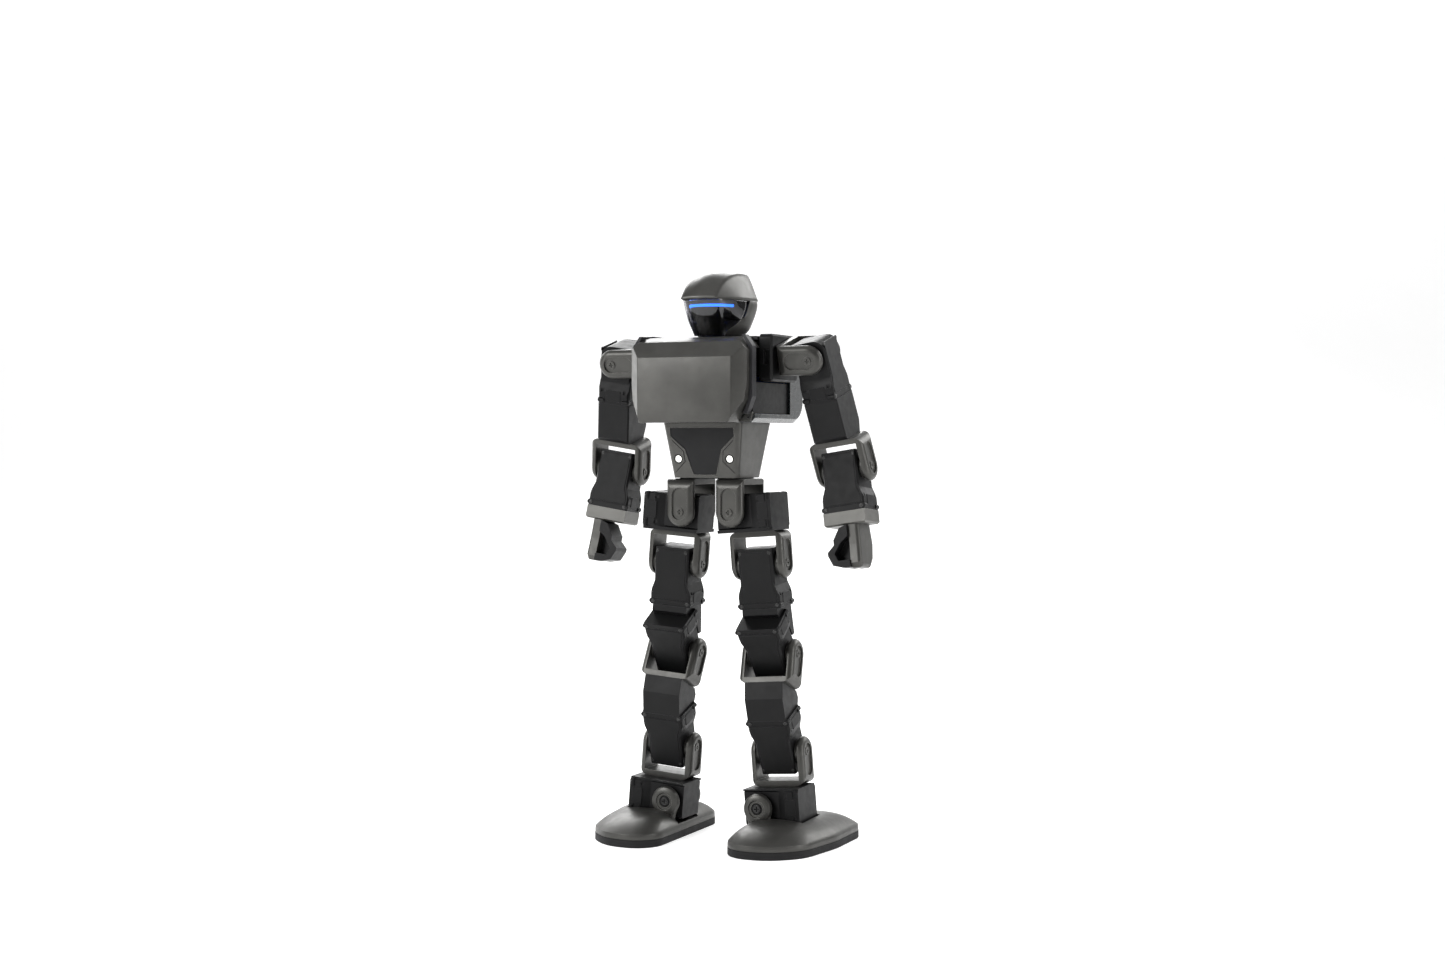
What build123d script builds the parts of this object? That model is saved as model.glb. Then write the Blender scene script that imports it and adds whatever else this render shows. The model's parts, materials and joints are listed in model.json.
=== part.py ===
"""Walking humanoid robot, 345 mm tall, built from 17 servo joints.

The robot stands on z = 0, faces -Y, and its left side is +X. Lengths are in millimetres and
angles in degrees. Limbs are made for the left side and mirrored to the right.
"""
from build123d import *
from math import copysign, cos, radians, sin
import os

# Servo: long side, thickness, length along its shaft, and how far the shaft is from the short end
SERVO_LONG = 36.0
SERVO_THICK = 20.5
SERVO_SPAN = 27.0
SHAFT_INSET = 10.0
NECK_SPAN = 22.5        # span of the case between the bracket's ears
NECK_DEPTH = 12.5       # how far the narrow part reaches past the shaft
NECK_TAPER = 6.0        # length of the step between the two widths
SEAM = 0.35             # width and depth of a moulded parting line
SEAM_UP = 3.2           # parting line's height over the long end
CASE_EDGE = 0.9         # chamfer on the case's edges
BORE_R = 3.05
BORE_DEPTH = 5.0
SOCKET_Y = 7.6          # cable sockets on the case's sides
SOCKET_UP = 9.0
SOCKET_DEPTH = 0.8
SOCKET_SIZE = (1.8, 3.0)

# U-shaped servo bracket
EAR_GAP = 27.6
EAR_THICK = 3.7
EAR_WIDTH = 18.0
BASE_REACH = 20.0       # pivot to the outer face of the base
BASE_THICK = 3.5
CORNER_R = 6.0
RIM_R = 3.4
SLOT_WIDTH = 9.7
SLOT_LONG = 19.4
SLOT_DEPTH = 1.1
SCREW_BORE_R = 3.5
LINK_GAP = 0.02         # gap that keeps touching fasteners separate solids

# Servo horn and pivot screw
HORN_R = 7.5
HORN_GAP = 0.12
SHAFT_R = 3.0
HEAD_R = 2.4
CROSS_WIDTH = 0.7
CROSS_LONG = 2.9

# Trunk
CHEST_HALF = 37.5
CHEST_FRONT = -50.0
CHEST_LOW = 253.0
CHEST_TOP = 304.5
CREASE_X = 30.4
CREASE_Z = 291.0
WALL = 2.2
FRAME_HALF = 39.3
TUB_HALF = 38.5
TUB_FRONT = -34.0
TUB_BACK = 40.0
ROOF_FRONT = -22.4      # y where the front shell's top meets the neck collar
SIDE_BREAK = 18.0       # y where the back shell rises behind the side panel
RAIL_TOP = 258.0
NOTCH_Z = 277.0         # underside of the shoulder servo
WAIST_LOW = 220.0
INLAY_DEPTH = 0.9
LAMP_X = 16.9
LAMP_Z = 231.4
LAMP_R = 2.1
NECK_R = 6.0
BUTTON_R = 4.0
BUTTON_Z = 285.0

# Head
HEAD_LOW = 304.9
HEAD_TOP = 345.0
BROW_Z = 326.6
VISOR_INSET = 0.8
HEAD_WALL = 2.0
LIGHT_Z = 323.0
LIGHT_HIGH = 1.6

# Arm: where its joints are, and how it hangs at rest
SHOULDER_X = 64.8
SHOULDER_Y = -2.6
SHOULDER_Z = 292.8
ARM_SWING = 15.0        # swung back about X
ARM_SPREAD = 9.3        # spread outward about the swung Y
ELBOW_DROP = 71.0
ELBOW_BEND = 21.0       # bent forward
CAP_DROP = 34.2         # elbow axis to the lower face of the wrist cap
HAND_DROP = 60.0

# Leg: hip roll axis, then the pitch axes in the leg's own rolled frame
HIP_X = 16.2
HIP_Y = -6.2
HIP_Z = 199.5
LEG_SPREAD = 4.43
LEG_X = 9.4
HIP_PITCH = (0.0, -32.2)
THIGH_LEAN = 4.0
KNEE = (6.4, -87.2)
KNEE_SERVO_LEAN = 32.0
KNEE_BASE_LEAN = 22.0
ANKLE = (9.2, -146.2)
SHIN_LEAN = 21.0
ANKLE_ROLL = (0.9, 2.4, -177.5)

# Foot
SOLE_THICK = 4.5
FOOT_RIM = 8.6
FOOT_TOP = 17.0
POCKET_FLOOR = 5.4
POCKET_STEP = 9.0       # floor of the pocket beside the foot's inner edge
CROWN_SHRINK = 0.62
CROWN_X = 43.0
CROWN_Y = 4.0
HIP_SHELF = 1.95        # lid of the hip servo that the thigh bracket is screwed to
ANKLE_SHELF = 1.05      # lid of the ankle servo under the ankle bracket

EAR_OUT = EAR_GAP / 2 + EAR_THICK
os.makedirs("parts", exist_ok=True)


# ---------------------------------------------------------------- frames

def hinge(home, at, axis, toward):
    """Plane with its origin at a point of the home plane, X along the axis and Z toward a direction."""
    origin = home.from_local_coords(Vector(*at))
    x_dir = home.from_local_coords(Vector(*axis)) - home.origin
    z_dir = home.from_local_coords(Vector(*toward)) - home.origin
    return Plane(origin=origin, x_dir=x_dir, z_dir=z_dir)


def lean(angle, sign=1):
    """Direction in the YZ plane, turned from Z (or from -Z) by a lean in degrees."""
    return (0, -sin(radians(angle)) * sign, cos(radians(angle)) * sign)


def turned(frame, about_x=0.0, about_y=0.0):
    """The frame turned about its own X or Y axis."""
    return Plane(frame.location * Location((0, 0, 0), (about_x, about_y, 0)))


def front(frame):
    """The frame's XZ plane, seen from -Y."""
    return Plane(origin=frame.origin, x_dir=frame.x_dir, z_dir=-frame.y_dir)


def side(frame):
    """The frame's YZ plane, seen from +X."""
    return Plane(origin=frame.origin, x_dir=frame.y_dir, z_dir=frame.x_dir)


TRUNK = Plane.XY
LEG = turned(Plane(origin=(HIP_X, 0, HIP_Z)), about_y=-LEG_SPREAD)
ALONG_X = (1, 0, 0)
ALONG_Y = (0, 1, 0)
UP = (0, 0, 1)
DOWN = (0, 0, -1)
MEDIAL = (-1, 0, 0)

HIP_BRACKET = hinge(TRUNK, (HIP_X, HIP_Y, HIP_Z), ALONG_Y, UP)
HIP_SERVO = hinge(LEG, (0, HIP_Y, 0), ALONG_Y, MEDIAL)
THIGH_BRACKET = hinge(LEG, (LEG_X, *HIP_PITCH), ALONG_X, UP)
THIGH_SERVO = hinge(LEG, (LEG_X, *HIP_PITCH), ALONG_X, lean(THIGH_LEAN))
KNEE_SERVO = hinge(LEG, (LEG_X, *KNEE), ALONG_X, lean(KNEE_SERVO_LEAN, -1))
KNEE_BRACKET = hinge(LEG, (LEG_X, *KNEE), ALONG_X, lean(-KNEE_BASE_LEAN, -1))
SHIN_SERVO = hinge(LEG, (LEG_X, *ANKLE), ALONG_X, lean(SHIN_LEAN, -1))
ANKLE_BRACKET = hinge(LEG, (LEG_X, *ANKLE), ALONG_X, DOWN)
ANKLE_SERVO = hinge(LEG, ANKLE_ROLL, ALONG_Y, MEDIAL)

SHOULDER = turned(Plane(origin=(SHOULDER_X, SHOULDER_Y, SHOULDER_Z)), about_x=ARM_SWING)
ARM = turned(SHOULDER, about_y=-ARM_SPREAD)
SHOULDER_BRACKET = hinge(SHOULDER, (0, 0, 0), ALONG_Y, MEDIAL)
UPPER_ARM_SERVO = hinge(ARM, (0, 0, 0), ALONG_Y, UP)
ELBOW_BRACKET = hinge(ARM, (0, 0, -ELBOW_DROP), ALONG_X, UP)
FOREARM = turned(ELBOW_BRACKET, about_x=-ELBOW_BEND)


# ---------------------------------------------------------------- shared machine parts

def pivot_pins(frame):
    """Both servo horns of a bracket with their screws."""
    inner = NECK_SPAN / 2 - BORE_DEPTH + 0.3
    face = NECK_SPAN / 2 + HORN_GAP
    ear = EAR_GAP / 2 - LINK_GAP
    head = EAR_OUT - SLOT_DEPTH
    neck_r = SCREW_BORE_R - LINK_GAP
    with BuildPart() as pins:
        for sign in (1, -1):
            with BuildSketch(front(frame)):
                with BuildLine():
                    Polyline(
                        (sign * inner, 0), (sign * inner, SHAFT_R), (sign * face, SHAFT_R),
                        (sign * face, HORN_R), (sign * ear, HORN_R), (sign * ear, neck_r),
                        (sign * head, neck_r), (sign * head, HEAD_R),
                        (sign * (head + 0.6), HEAD_R), (sign * (head + 0.6), 0), close=True)
                make_face()
            revolve(axis=Axis(frame.origin, frame.x_dir))
            with BuildSketch(side(frame).offset(sign * (head + 0.6))):
                Rectangle(CROSS_LONG, CROSS_WIDTH)
                Rectangle(CROSS_WIDTH, CROSS_LONG)
            extrude(amount=-sign * 0.8, mode=Mode.SUBTRACT)
    return pins


def bracket_envelope():
    """Softly rounded block that a bracket's ears are shaped by: round-ended below, open above."""
    with BuildPart() as envelope:
        with BuildSketch():
            RectangleRounded(2 * EAR_OUT, EAR_WIDTH, RIM_R)
        extrude(amount=BASE_REACH)
        with BuildSketch():
            RectangleRounded(2 * EAR_OUT, EAR_WIDTH, RIM_R)
            with Locations((0, EAR_WIDTH / 2)):
                Rectangle(2 * EAR_OUT, EAR_WIDTH, mode=Mode.INTERSECT)
        revolve(axis=Axis.X)
    return envelope


def bracket_at_origin():
    """Bracket with two round-ended ears across X, its pivot at the origin and its base on the +Z side."""
    pins = pivot_pins(Plane.XY)
    envelope = bracket_envelope()
    with BuildPart() as bracket:
        with BuildSketch(Plane.XZ):
            with Locations((0, (BASE_REACH - EAR_WIDTH / 2) / 2)):
                Rectangle(2 * EAR_OUT, BASE_REACH + EAR_WIDTH / 2)
        extrude(amount=EAR_WIDTH / 2, both=True)
        fillet(bracket.edges().filter_by(Axis.Y).sort_by(Axis.Z)[-2:], CORNER_R)
        add(envelope.part, mode=Mode.INTERSECT)
        with BuildSketch(Plane.XZ):
            with Locations((0, (BASE_REACH - BASE_THICK - EAR_WIDTH) / 2)):
                Rectangle(EAR_GAP, BASE_REACH - BASE_THICK + EAR_WIDTH)
        extrude(amount=EAR_WIDTH, both=True, mode=Mode.SUBTRACT)
        for sign in (1, -1):
            with BuildSketch(Plane.YZ.offset(sign * EAR_OUT)):
                with Locations((0, (SLOT_LONG - SLOT_WIDTH) / 2)):
                    SlotOverall(SLOT_LONG, SLOT_WIDTH, rotation=90)
            extrude(amount=-sign * SLOT_DEPTH, mode=Mode.SUBTRACT)
        with BuildSketch(Plane.YZ):
            Circle(SCREW_BORE_R)
        extrude(amount=EAR_OUT, both=True, mode=Mode.SUBTRACT)
        add(pins.part)
    return bracket


BRACKET = bracket_at_origin()


def u_bracket(frame):
    """The bracket in its place: shaft along the frame's X, base on its +Z side."""
    with BuildPart() as bracket:
        add(BRACKET.part.moved(frame.location))
    return bracket


def servo(frame, shelf=0.0):
    """Servo with moulded edges, a parting line, shaft bores and, on its upper or lower face, a shelf."""
    low = SHAFT_INSET - SERVO_LONG
    wide = SERVO_SPAN / 2
    neck = NECK_SPAN / 2
    with BuildPart() as case:
        with BuildSketch(front(frame)):
            with BuildLine():
                Polyline((-neck, SHAFT_INSET), (neck, SHAFT_INSET), (neck, -NECK_DEPTH),
                         (wide, -NECK_DEPTH - NECK_TAPER), (wide, low), (-wide, low),
                         (-wide, -NECK_DEPTH - NECK_TAPER), (-neck, -NECK_DEPTH), close=True)
            make_face()
        extrude(amount=SERVO_THICK / 2, both=True)
        chamfer(case.edges().filter_by(Axis(frame.origin, frame.z_dir)), CASE_EDGE)
        with BuildSketch(frame.offset(low + SEAM_UP)):
            Rectangle(SERVO_SPAN + 1, SERVO_THICK + 1)
            Rectangle(SERVO_SPAN - 2 * SEAM, SERVO_THICK - 2 * SEAM, mode=Mode.SUBTRACT)
        extrude(amount=SEAM, mode=Mode.SUBTRACT)
        for sign in (1, -1):
            with BuildSketch(side(frame).offset(sign * neck)):
                Circle(BORE_R)
            extrude(amount=-sign * BORE_DEPTH, mode=Mode.SUBTRACT)
            with BuildSketch(side(frame).offset(sign * wide)):
                with Locations((-SOCKET_Y, low + SOCKET_UP), (SOCKET_Y, low + SOCKET_UP)):
                    Rectangle(*SOCKET_SIZE)
            extrude(amount=-sign * SOCKET_DEPTH, mode=Mode.SUBTRACT)
        if shelf:
            with BuildSketch(front(frame).offset(copysign(SERVO_THICK / 2, shelf))):
                with Locations((0, (SHAFT_INSET + low) / 2)):
                    Rectangle(SERVO_SPAN - 2, SERVO_LONG)
            extrude(amount=shelf)
    return case


def servo_envelope(frame):
    """Plain block that a servo fills, cut out of the links that hold it."""
    low = SHAFT_INSET - SERVO_LONG
    with BuildPart() as envelope:
        with BuildSketch(front(frame)):
            with Locations((0, (SHAFT_INSET + low) / 2)):
                Rectangle(SERVO_SPAN + 4, SERVO_LONG)
        extrude(amount=SERVO_THICK / 2, both=True)
    return envelope


def keep(name, piece):
    """Labels one finished piece and writes it."""
    piece.part.label = name
    export_step(piece.part, f"parts/{name}.step")


def keep_pair(name, piece):
    """Writes a left piece and its mirror image on the right."""
    keep("left_" + name, piece)
    with BuildPart() as other:
        mirror(piece.part, about=Plane.YZ)
    keep("right_" + name, other)


# ---------------------------------------------------------------- trunk

def chest_form(inset, back):
    """Chest volume: a rounded front outline, bevelled in plan and in side view."""
    half = CHEST_HALF - inset
    low = CHEST_LOW + inset
    top = CHEST_TOP - inset
    face = CHEST_FRONT + inset
    with BuildPart() as form:
        with BuildSketch(Plane.XZ.offset(-back)):
            with BuildLine():
                Polyline((-28.5 + inset, low), (28.5 - inset, low), (half - 1.2, low + 13),
                         (half, low + 22),
                         (half, top - 9), (half - 6.5, top - 1), (-half + 6.5, top - 1),
                         (-half, top - 9),
                         (-half, low + 22), (-half + 1.2, low + 13), close=True)
            make_face()
        extrude(amount=back - CHEST_FRONT + 1)
        with BuildSketch(Plane.XY.offset(low - 1)):
            with BuildLine():
                Polyline((-CREASE_X, face), (CREASE_X, face), (half, face + 6.3), (half, back),
                         (-half, back), (-half, face + 6.3), close=True)
            make_face()
        extrude(amount=top - low + 2, mode=Mode.INTERSECT)
        with BuildSketch(Plane.YZ):
            with BuildLine():
                Polyline((face, low), (face, CREASE_Z - inset / 2), (face + 7, top - 4.2),
                         (face + 19, top - 0.8),
                         (back, top - 0.8), (back, low), close=True)
            make_face()
        extrude(amount=CHEST_HALF, both=True, mode=Mode.INTERSECT)
    return form


def chest_front_shell():
    body = chest_form(0, ROOF_FRONT)
    hollow = chest_form(WALL, ROOF_FRONT)
    with BuildPart() as shell:
        add(body.part)
        near = shell.edges().filter_by(Axis.Z).group_by(Axis.Y)[0]
        fillet(near, 1.5)
        add(hollow.part, mode=Mode.SUBTRACT)
        with BuildSketch(Plane.YZ):
            with Locations((TUB_FRONT + 20 - LINK_GAP, 297 - 30)):
                Rectangle(40, 60)
        extrude(amount=CHEST_HALF, both=True, mode=Mode.SUBTRACT)
    return shell


def chest_side_frame():
    """Dark ring that carries the front shell on the sides of the trunk."""
    deep = 5.5
    with BuildPart() as ring:
        with BuildSketch(Plane.XZ.offset(-TUB_FRONT)):
            for sign in (1, -1):
                with BuildLine():
                    Polyline((sign * (CHEST_HALF + 0.1), 275), (sign * (CHEST_HALF + 0.1), 296),
                             (sign * 32.6, CHEST_TOP - 0.4), (sign * 34.6, CHEST_TOP - 0.4),
                             (sign * FRAME_HALF, 297.5), (sign * FRAME_HALF, 268),
                             (sign * (FRAME_HALF - 3.5), 258),
                             (sign * (FRAME_HALF - 6), 258),
                             (sign * (CHEST_HALF - 1.0), 266.0), close=True)
                make_face()
        extrude(amount=deep)
    return ring


def side_panels():
    with BuildPart() as panels:
        for sign in (1, -1):
            with BuildSketch(Plane.YZ.offset(sign * 34.6)):
                with Locations(((TUB_FRONT + SIDE_BREAK) / 2, (RAIL_TOP + NOTCH_Z) / 2)):
                    RectangleRounded(SIDE_BREAK - TUB_FRONT - 0.4, NOTCH_Z - RAIL_TOP - 0.6, 1.5)
            extrude(amount=sign * 2.4)
    return panels


def back_shell():
    """Tub with low side rails, a floor and a full-height rounded back."""
    with BuildPart() as shell:
        with BuildSketch(Plane.YZ):
            with BuildLine():
                Polyline((TUB_FRONT, CHEST_LOW), (TUB_BACK, CHEST_LOW), (TUB_BACK, CHEST_TOP - 0.5),
                         (SIDE_BREAK, CHEST_TOP - 0.5), (SIDE_BREAK, RAIL_TOP),
                         (TUB_FRONT, RAIL_TOP), close=True)
            make_face()
        extrude(amount=TUB_HALF, both=True)
        backs = shell.edges().filter_by(Axis.X).group_by(Axis.Y)[-1]
        fillet(backs.sort_by(Axis.Z)[0], 14)
        backs = shell.edges().filter_by(Axis.X).group_by(Axis.Y)[-1]
        fillet(backs.sort_by(Axis.Z)[-1], 5)
        chamfer(shell.faces().sort_by(Axis.Y)[-1].edges().filter_by(Axis.Z), 2.5)
        with BuildSketch(Plane.YZ):
            with BuildLine():
                Polyline((TUB_FRONT, CHEST_LOW + WALL), (TUB_BACK - 11, CHEST_LOW + WALL),
                         (TUB_BACK - WALL, CHEST_LOW + 13), (TUB_BACK - WALL, CHEST_TOP - 4),
                         (TUB_BACK - 5, CHEST_TOP - 0.5 - WALL),
                         (TUB_FRONT, CHEST_TOP - 0.5 - WALL), close=True)
            make_face()
        extrude(amount=TUB_HALF - WALL, both=True, mode=Mode.SUBTRACT)
        with BuildSketch(Plane.XZ.offset(-TUB_BACK - 1)):
            with Locations((0, BUTTON_Z)):
                Circle(BUTTON_R)
            with Locations((20, BUTTON_Z)):
                Circle(2.6)
            with GridLocations(0, 3.2, 1, 5):
                with Locations((0, 268)):
                    SlotOverall(26, 1.5)
        extrude(amount=WALL + 4, mode=Mode.SUBTRACT)
    return shell


def neck_collar():
    """Top cover of the trunk with the neck opening."""
    with BuildPart() as collar:
        with BuildSketch(Plane.XY.offset(CHEST_TOP - 2.7)):
            with Locations((0, (ROOF_FRONT + SIDE_BREAK) / 2)):
                Rectangle(2 * 34.4, SIDE_BREAK - ROOF_FRONT - 2 * LINK_GAP)
        extrude(amount=2.2)
        with BuildSketch(Plane.XY.offset(CHEST_TOP - 4)):
            with Locations((0, SHOULDER_Y)):
                Circle(NECK_R + 0.3)
        extrude(amount=5, mode=Mode.SUBTRACT)
    return collar


def waist_form(inset):
    """Waist volume: a rounded rectangle that tapers from the trunk to the pelvis."""
    with BuildPart() as form:
        with BuildSketch(Plane.XY.offset(CHEST_LOW)):
            with Locations((0, -3.8)):
                RectangleRounded(51.6 - 2 * inset, 45.8 - 2 * inset, 3.2)
        with BuildSketch(Plane.XY.offset(WAIST_LOW)):
            with Locations((0, -4.2)):
                RectangleRounded(43.0 - 2 * inset, 33.2 - 2 * inset, 3.2)
        loft()
    return form


def inlay_outline(grow):
    """Shield outline of the dark panel on the waist."""
    with BuildSketch(Plane.XZ) as outline:
        with BuildLine():
            Polyline((-21.2 - grow, 250.2 + grow), (21.2 + grow, 250.2 + grow),
                     (21.2 + grow, 245.0 - grow),
                     (12.3 + grow, 237.0 - grow), (7.6 + grow, 221.8 - grow),
                     (-7.6 - grow, 221.8 - grow),
                     (-12.3 - grow, 237.0 - grow), (-21.2 - grow, 245.0 - grow), close=True)
        make_face()
    return outline



def waist_shell():
    body = waist_form(0)
    deep = waist_form(INLAY_DEPTH)
    hollow = waist_form(WALL)
    outline = inlay_outline(0)
    with BuildPart() as recess:
        with BuildSketch(Plane.XZ):
            with Locations((LAMP_X, LAMP_Z), (-LAMP_X, LAMP_Z)):
                Circle(LAMP_R + 0.1)
        extrude(amount=40)
        extrude(outline.sketch, amount=40)
        add(deep.part, mode=Mode.SUBTRACT)
    with BuildPart() as shell:
        add(body.part)
        add(recess.part, mode=Mode.SUBTRACT)
        add(hollow.part, mode=Mode.SUBTRACT)
    return shell


def waist_inlay():
    body = waist_form(0.25)
    deep = waist_form(INLAY_DEPTH)
    outline = inlay_outline(-0.15)
    with BuildPart() as inlay:
        add(body.part)
        extrude(outline.sketch, amount=40, mode=Mode.INTERSECT)
        add(deep.part, mode=Mode.SUBTRACT)
    return inlay


def waist_lamps():
    body = waist_form(0.3)
    deep = waist_form(INLAY_DEPTH)
    with BuildPart() as lamps:
        add(body.part)
        with BuildSketch(Plane.XZ):
            with Locations((LAMP_X, LAMP_Z), (-LAMP_X, LAMP_Z)):
                Circle(LAMP_R)
        extrude(amount=40, mode=Mode.INTERSECT)
        add(deep.part, mode=Mode.SUBTRACT)
    return lamps


def pelvis_plate():
    """Plate inside the foot of the waist shell that both hip brackets are screwed to."""
    with BuildPart() as plate:
        with BuildSketch(Plane.XY.offset(HIP_Z + BASE_REACH)):
            with Locations((0, -4.2)):
                RectangleRounded(43.0 - 2 * WALL - 1, 33.2 - 2 * WALL - 1, 2)
        extrude(amount=3.0)
    return plate


def shoulder_servo():
    """Servo across the trunk: an outer end block with a slot, and the case behind it."""
    block_in, block_out = 36.0, 44.0
    half_y, half_z = 19.4, 14.0
    middle = Plane(origin=(0, SHOULDER_Y, CHEST_TOP - half_z + 0.8), x_dir=(0, 1, 0), z_dir=(1, 0, 0))
    with BuildPart() as case:
        with BuildSketch(middle.offset(block_in)):
            RectangleRounded(2 * half_y, 2 * half_z, 3)
        extrude(amount=block_out - block_in)
        chamfer(case.faces().sort_by(Axis.X)[-1].edges(), 1.2)
        with BuildSketch(middle.offset(18.0)):
            Rectangle(30, 20)
        extrude(amount=block_in - 18.0)
        with BuildSketch(Plane.XZ.offset(-SHOULDER_Y + half_y)):
            with Locations(((block_in + block_out) / 2 + 0.6, CHEST_TOP - half_z + 1)):
                Rectangle(3.4, 8.4)
        extrude(amount=-1.6, mode=Mode.SUBTRACT)
        with BuildSketch(Plane.YZ.offset(block_out + 0.1)):
            with Locations((SHOULDER_Y, SHOULDER_Z)):
                Circle(BORE_R)
        extrude(amount=-BORE_DEPTH, mode=Mode.SUBTRACT)
    return case


def neck_servo():
    with BuildPart() as case:
        with BuildSketch(Plane.XY.offset(268)):
            with Locations((0, SHOULDER_Y + 3)):
                RectangleRounded(SERVO_THICK, SERVO_SPAN, 1.5)
        extrude(amount=CHEST_TOP - 4.6 - 268)
        with BuildSketch(Plane.XY.offset(CHEST_TOP - 4.6)):
            with Locations((0, SHOULDER_Y)):
                Circle(BORE_R)
        extrude(amount=-8, mode=Mode.SUBTRACT)
    return case


def battery_pack():
    """Two round cells in a shrink-wrapped block."""
    cell_r = 6.8
    back = 25.0
    stand = 1.5
    foot = CHEST_LOW + WALL + stand
    with BuildPart() as pack:
        with BuildSketch(Plane.YZ):
            with Locations((back, foot + cell_r), (back, foot + 3 * cell_r)):
                Circle(cell_r)
            with Locations((back, foot + 2 * cell_r)):
                Rectangle(2 * cell_r, 2 * cell_r)
            with Locations((back, foot)):
                Rectangle(cell_r, 2 * stand)
        extrude(amount=33, both=True)
    return pack


def main_board():
    """Control board with its processor and a row of servo sockets."""
    with BuildPart() as board:
        with BuildSketch(Plane.XZ.offset(28.0)):
            with Locations((0, 276)):
                RectangleRounded(62, 41.6, 2)
        extrude(amount=1.6)
        with BuildSketch(Plane.XZ.offset(29.6)):
            with Locations((0, 280)):
                Rectangle(14, 14)
            with Locations((0, 262)):
                with GridLocations(8, 0, 6, 1):
                    Rectangle(6, 4.5)
        extrude(amount=2.4)
    return board


def power_button():
    with BuildPart() as button:
        with BuildSketch(Plane.XZ.offset(-TUB_BACK - 0.8)):
            with Locations((0, BUTTON_Z)):
                Circle(BUTTON_R - 0.15)
        extrude(amount=4.5)
        chamfer(button.edges().group_by(Axis.Y)[-1], 0.4)
        with BuildSketch(Plane.XZ.offset(-TUB_BACK + WALL + 0.3)):
            with Locations((0, BUTTON_Z)):
                Circle(BUTTON_R + 1.2)
        extrude(amount=1.2)
    return button


keep("chest_front_shell", chest_front_shell())
keep("chest_side_frame", chest_side_frame())
keep("side_panels", side_panels())
keep("back_shell", back_shell())
keep("neck_collar", neck_collar())
keep("waist_shell", waist_shell())
keep("waist_inlay", waist_inlay())
keep("waist_lamps", waist_lamps())
keep("pelvis_plate", pelvis_plate())
keep_pair("shoulder_servo", shoulder_servo())
keep("neck_servo", neck_servo())
keep("battery_pack", battery_pack())
keep("main_board", main_board())
keep("power_button", power_button())


# ---------------------------------------------------------------- head

def head_form(inset, brow):
    """Faceted helmet volume; the brow lets the forehead stand in front of the visor plane."""
    low = HEAD_LOW
    with BuildPart() as form:
        with BuildSketch(Plane.XZ):
            with BuildLine():
                Polyline((10.5 - inset, low), (17.8 - inset, 312.5), (20.3 - inset, 328.5),
                         (13.0 - inset, HEAD_TOP),
                         (-13.0 + inset, HEAD_TOP), (-20.3 + inset, 328.5), (-17.8 + inset, 312.5),
                         (-10.5 + inset, low), close=True)
            make_face()
        extrude(amount=35, both=True)
        with BuildSketch(Plane.XY.offset(low)):
            with BuildLine():
                Polyline((11.3 - inset, -30.5), (20.3 - inset, -7.0), (20.3 - inset, 7.0),
                         (13.5 - inset, 20.0),
                         (-13.5 + inset, 20.0), (-20.3 + inset, 7.0), (-20.3 + inset, -7.0),
                         (-11.3 + inset, -30.5), close=True)
            make_face()
        extrude(amount=HEAD_TOP - low, mode=Mode.INTERSECT)
        with BuildSketch(Plane.YZ):
            with BuildLine():
                if brow:
                    face = Polyline((-18.2 + inset, low), (-27.6 + inset, BROW_Z - 0.8),
                                    (-30.5 + inset, BROW_Z))
                    crown = Spline(face @ 1, (-26.3 + inset, 336.5 - inset), (-16.0, 342.6 - inset),
                                   (-2.0, HEAD_TOP - inset), (15.0, 342.6 - inset))
                else:
                    face = Polyline((-18.2 + inset, low), (-27.6 + inset, BROW_Z - 0.8))
                    crown = Line(face @ 1, (15.0, BROW_Z))
                Polyline(crown @ 1, (19.8 - inset, 328), (17.5 - inset, 314),
                         (8.5 - inset, low), face @ 0)
            make_face()
        extrude(amount=25, both=True, mode=Mode.INTERSECT)
    return form


def window_volume(grow):
    """Space of the visor: a wide band under the brow and a narrower slot between the cheeks."""
    with BuildPart() as volume:
        with BuildSketch(Plane.YZ):
            with BuildLine():
                Polyline((-40, BROW_Z), (-8.0 + grow, BROW_Z), (-13.8 + grow, 315.6 - grow),
                         (-21.0, 313.6 - grow), (-40, 313.6 - grow), close=True)
            make_face()
        extrude(amount=25, both=True)
        with BuildSketch(Plane.XZ.offset(13.0 - grow)):
            with BuildLine():
                Polyline((-9.2 - grow, 300), (9.2 + grow, 300), (9.9 + grow, 316),
                         (-9.9 - grow, 316), close=True)
            make_face()
        extrude(amount=40)
    return volume


def helmet_shell():
    inner = head_form(HEAD_WALL, True)
    outer = head_form(0, True)
    opening = window_volume(0)
    with BuildPart() as hollow:
        add(inner.part)
        with BuildSketch(Plane.XY.offset(HEAD_LOW + 3)):
            Rectangle(60, 80)
        extrude(amount=40, mode=Mode.INTERSECT)
    with BuildPart() as helmet:
        add(outer.part)
        add(hollow.part, mode=Mode.SUBTRACT)
        add(opening.part, mode=Mode.SUBTRACT)
        with BuildSketch(Plane.XY.offset(HEAD_LOW)):
            with Locations((0, SHOULDER_Y)):
                Circle(12)
        extrude(amount=3, mode=Mode.SUBTRACT)
    return helmet


def light_slot(grow):
    """Thin level band across the front of the visor."""
    with BuildPart() as band:
        with BuildSketch(Plane.XY.offset(LIGHT_Z - LIGHT_HIGH / 2 - grow)):
            with Locations((0, -25.8)):
                Rectangle(60, 29.6 + 2 * grow)
        extrude(amount=LIGHT_HIGH + 2 * grow)
    return band


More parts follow.
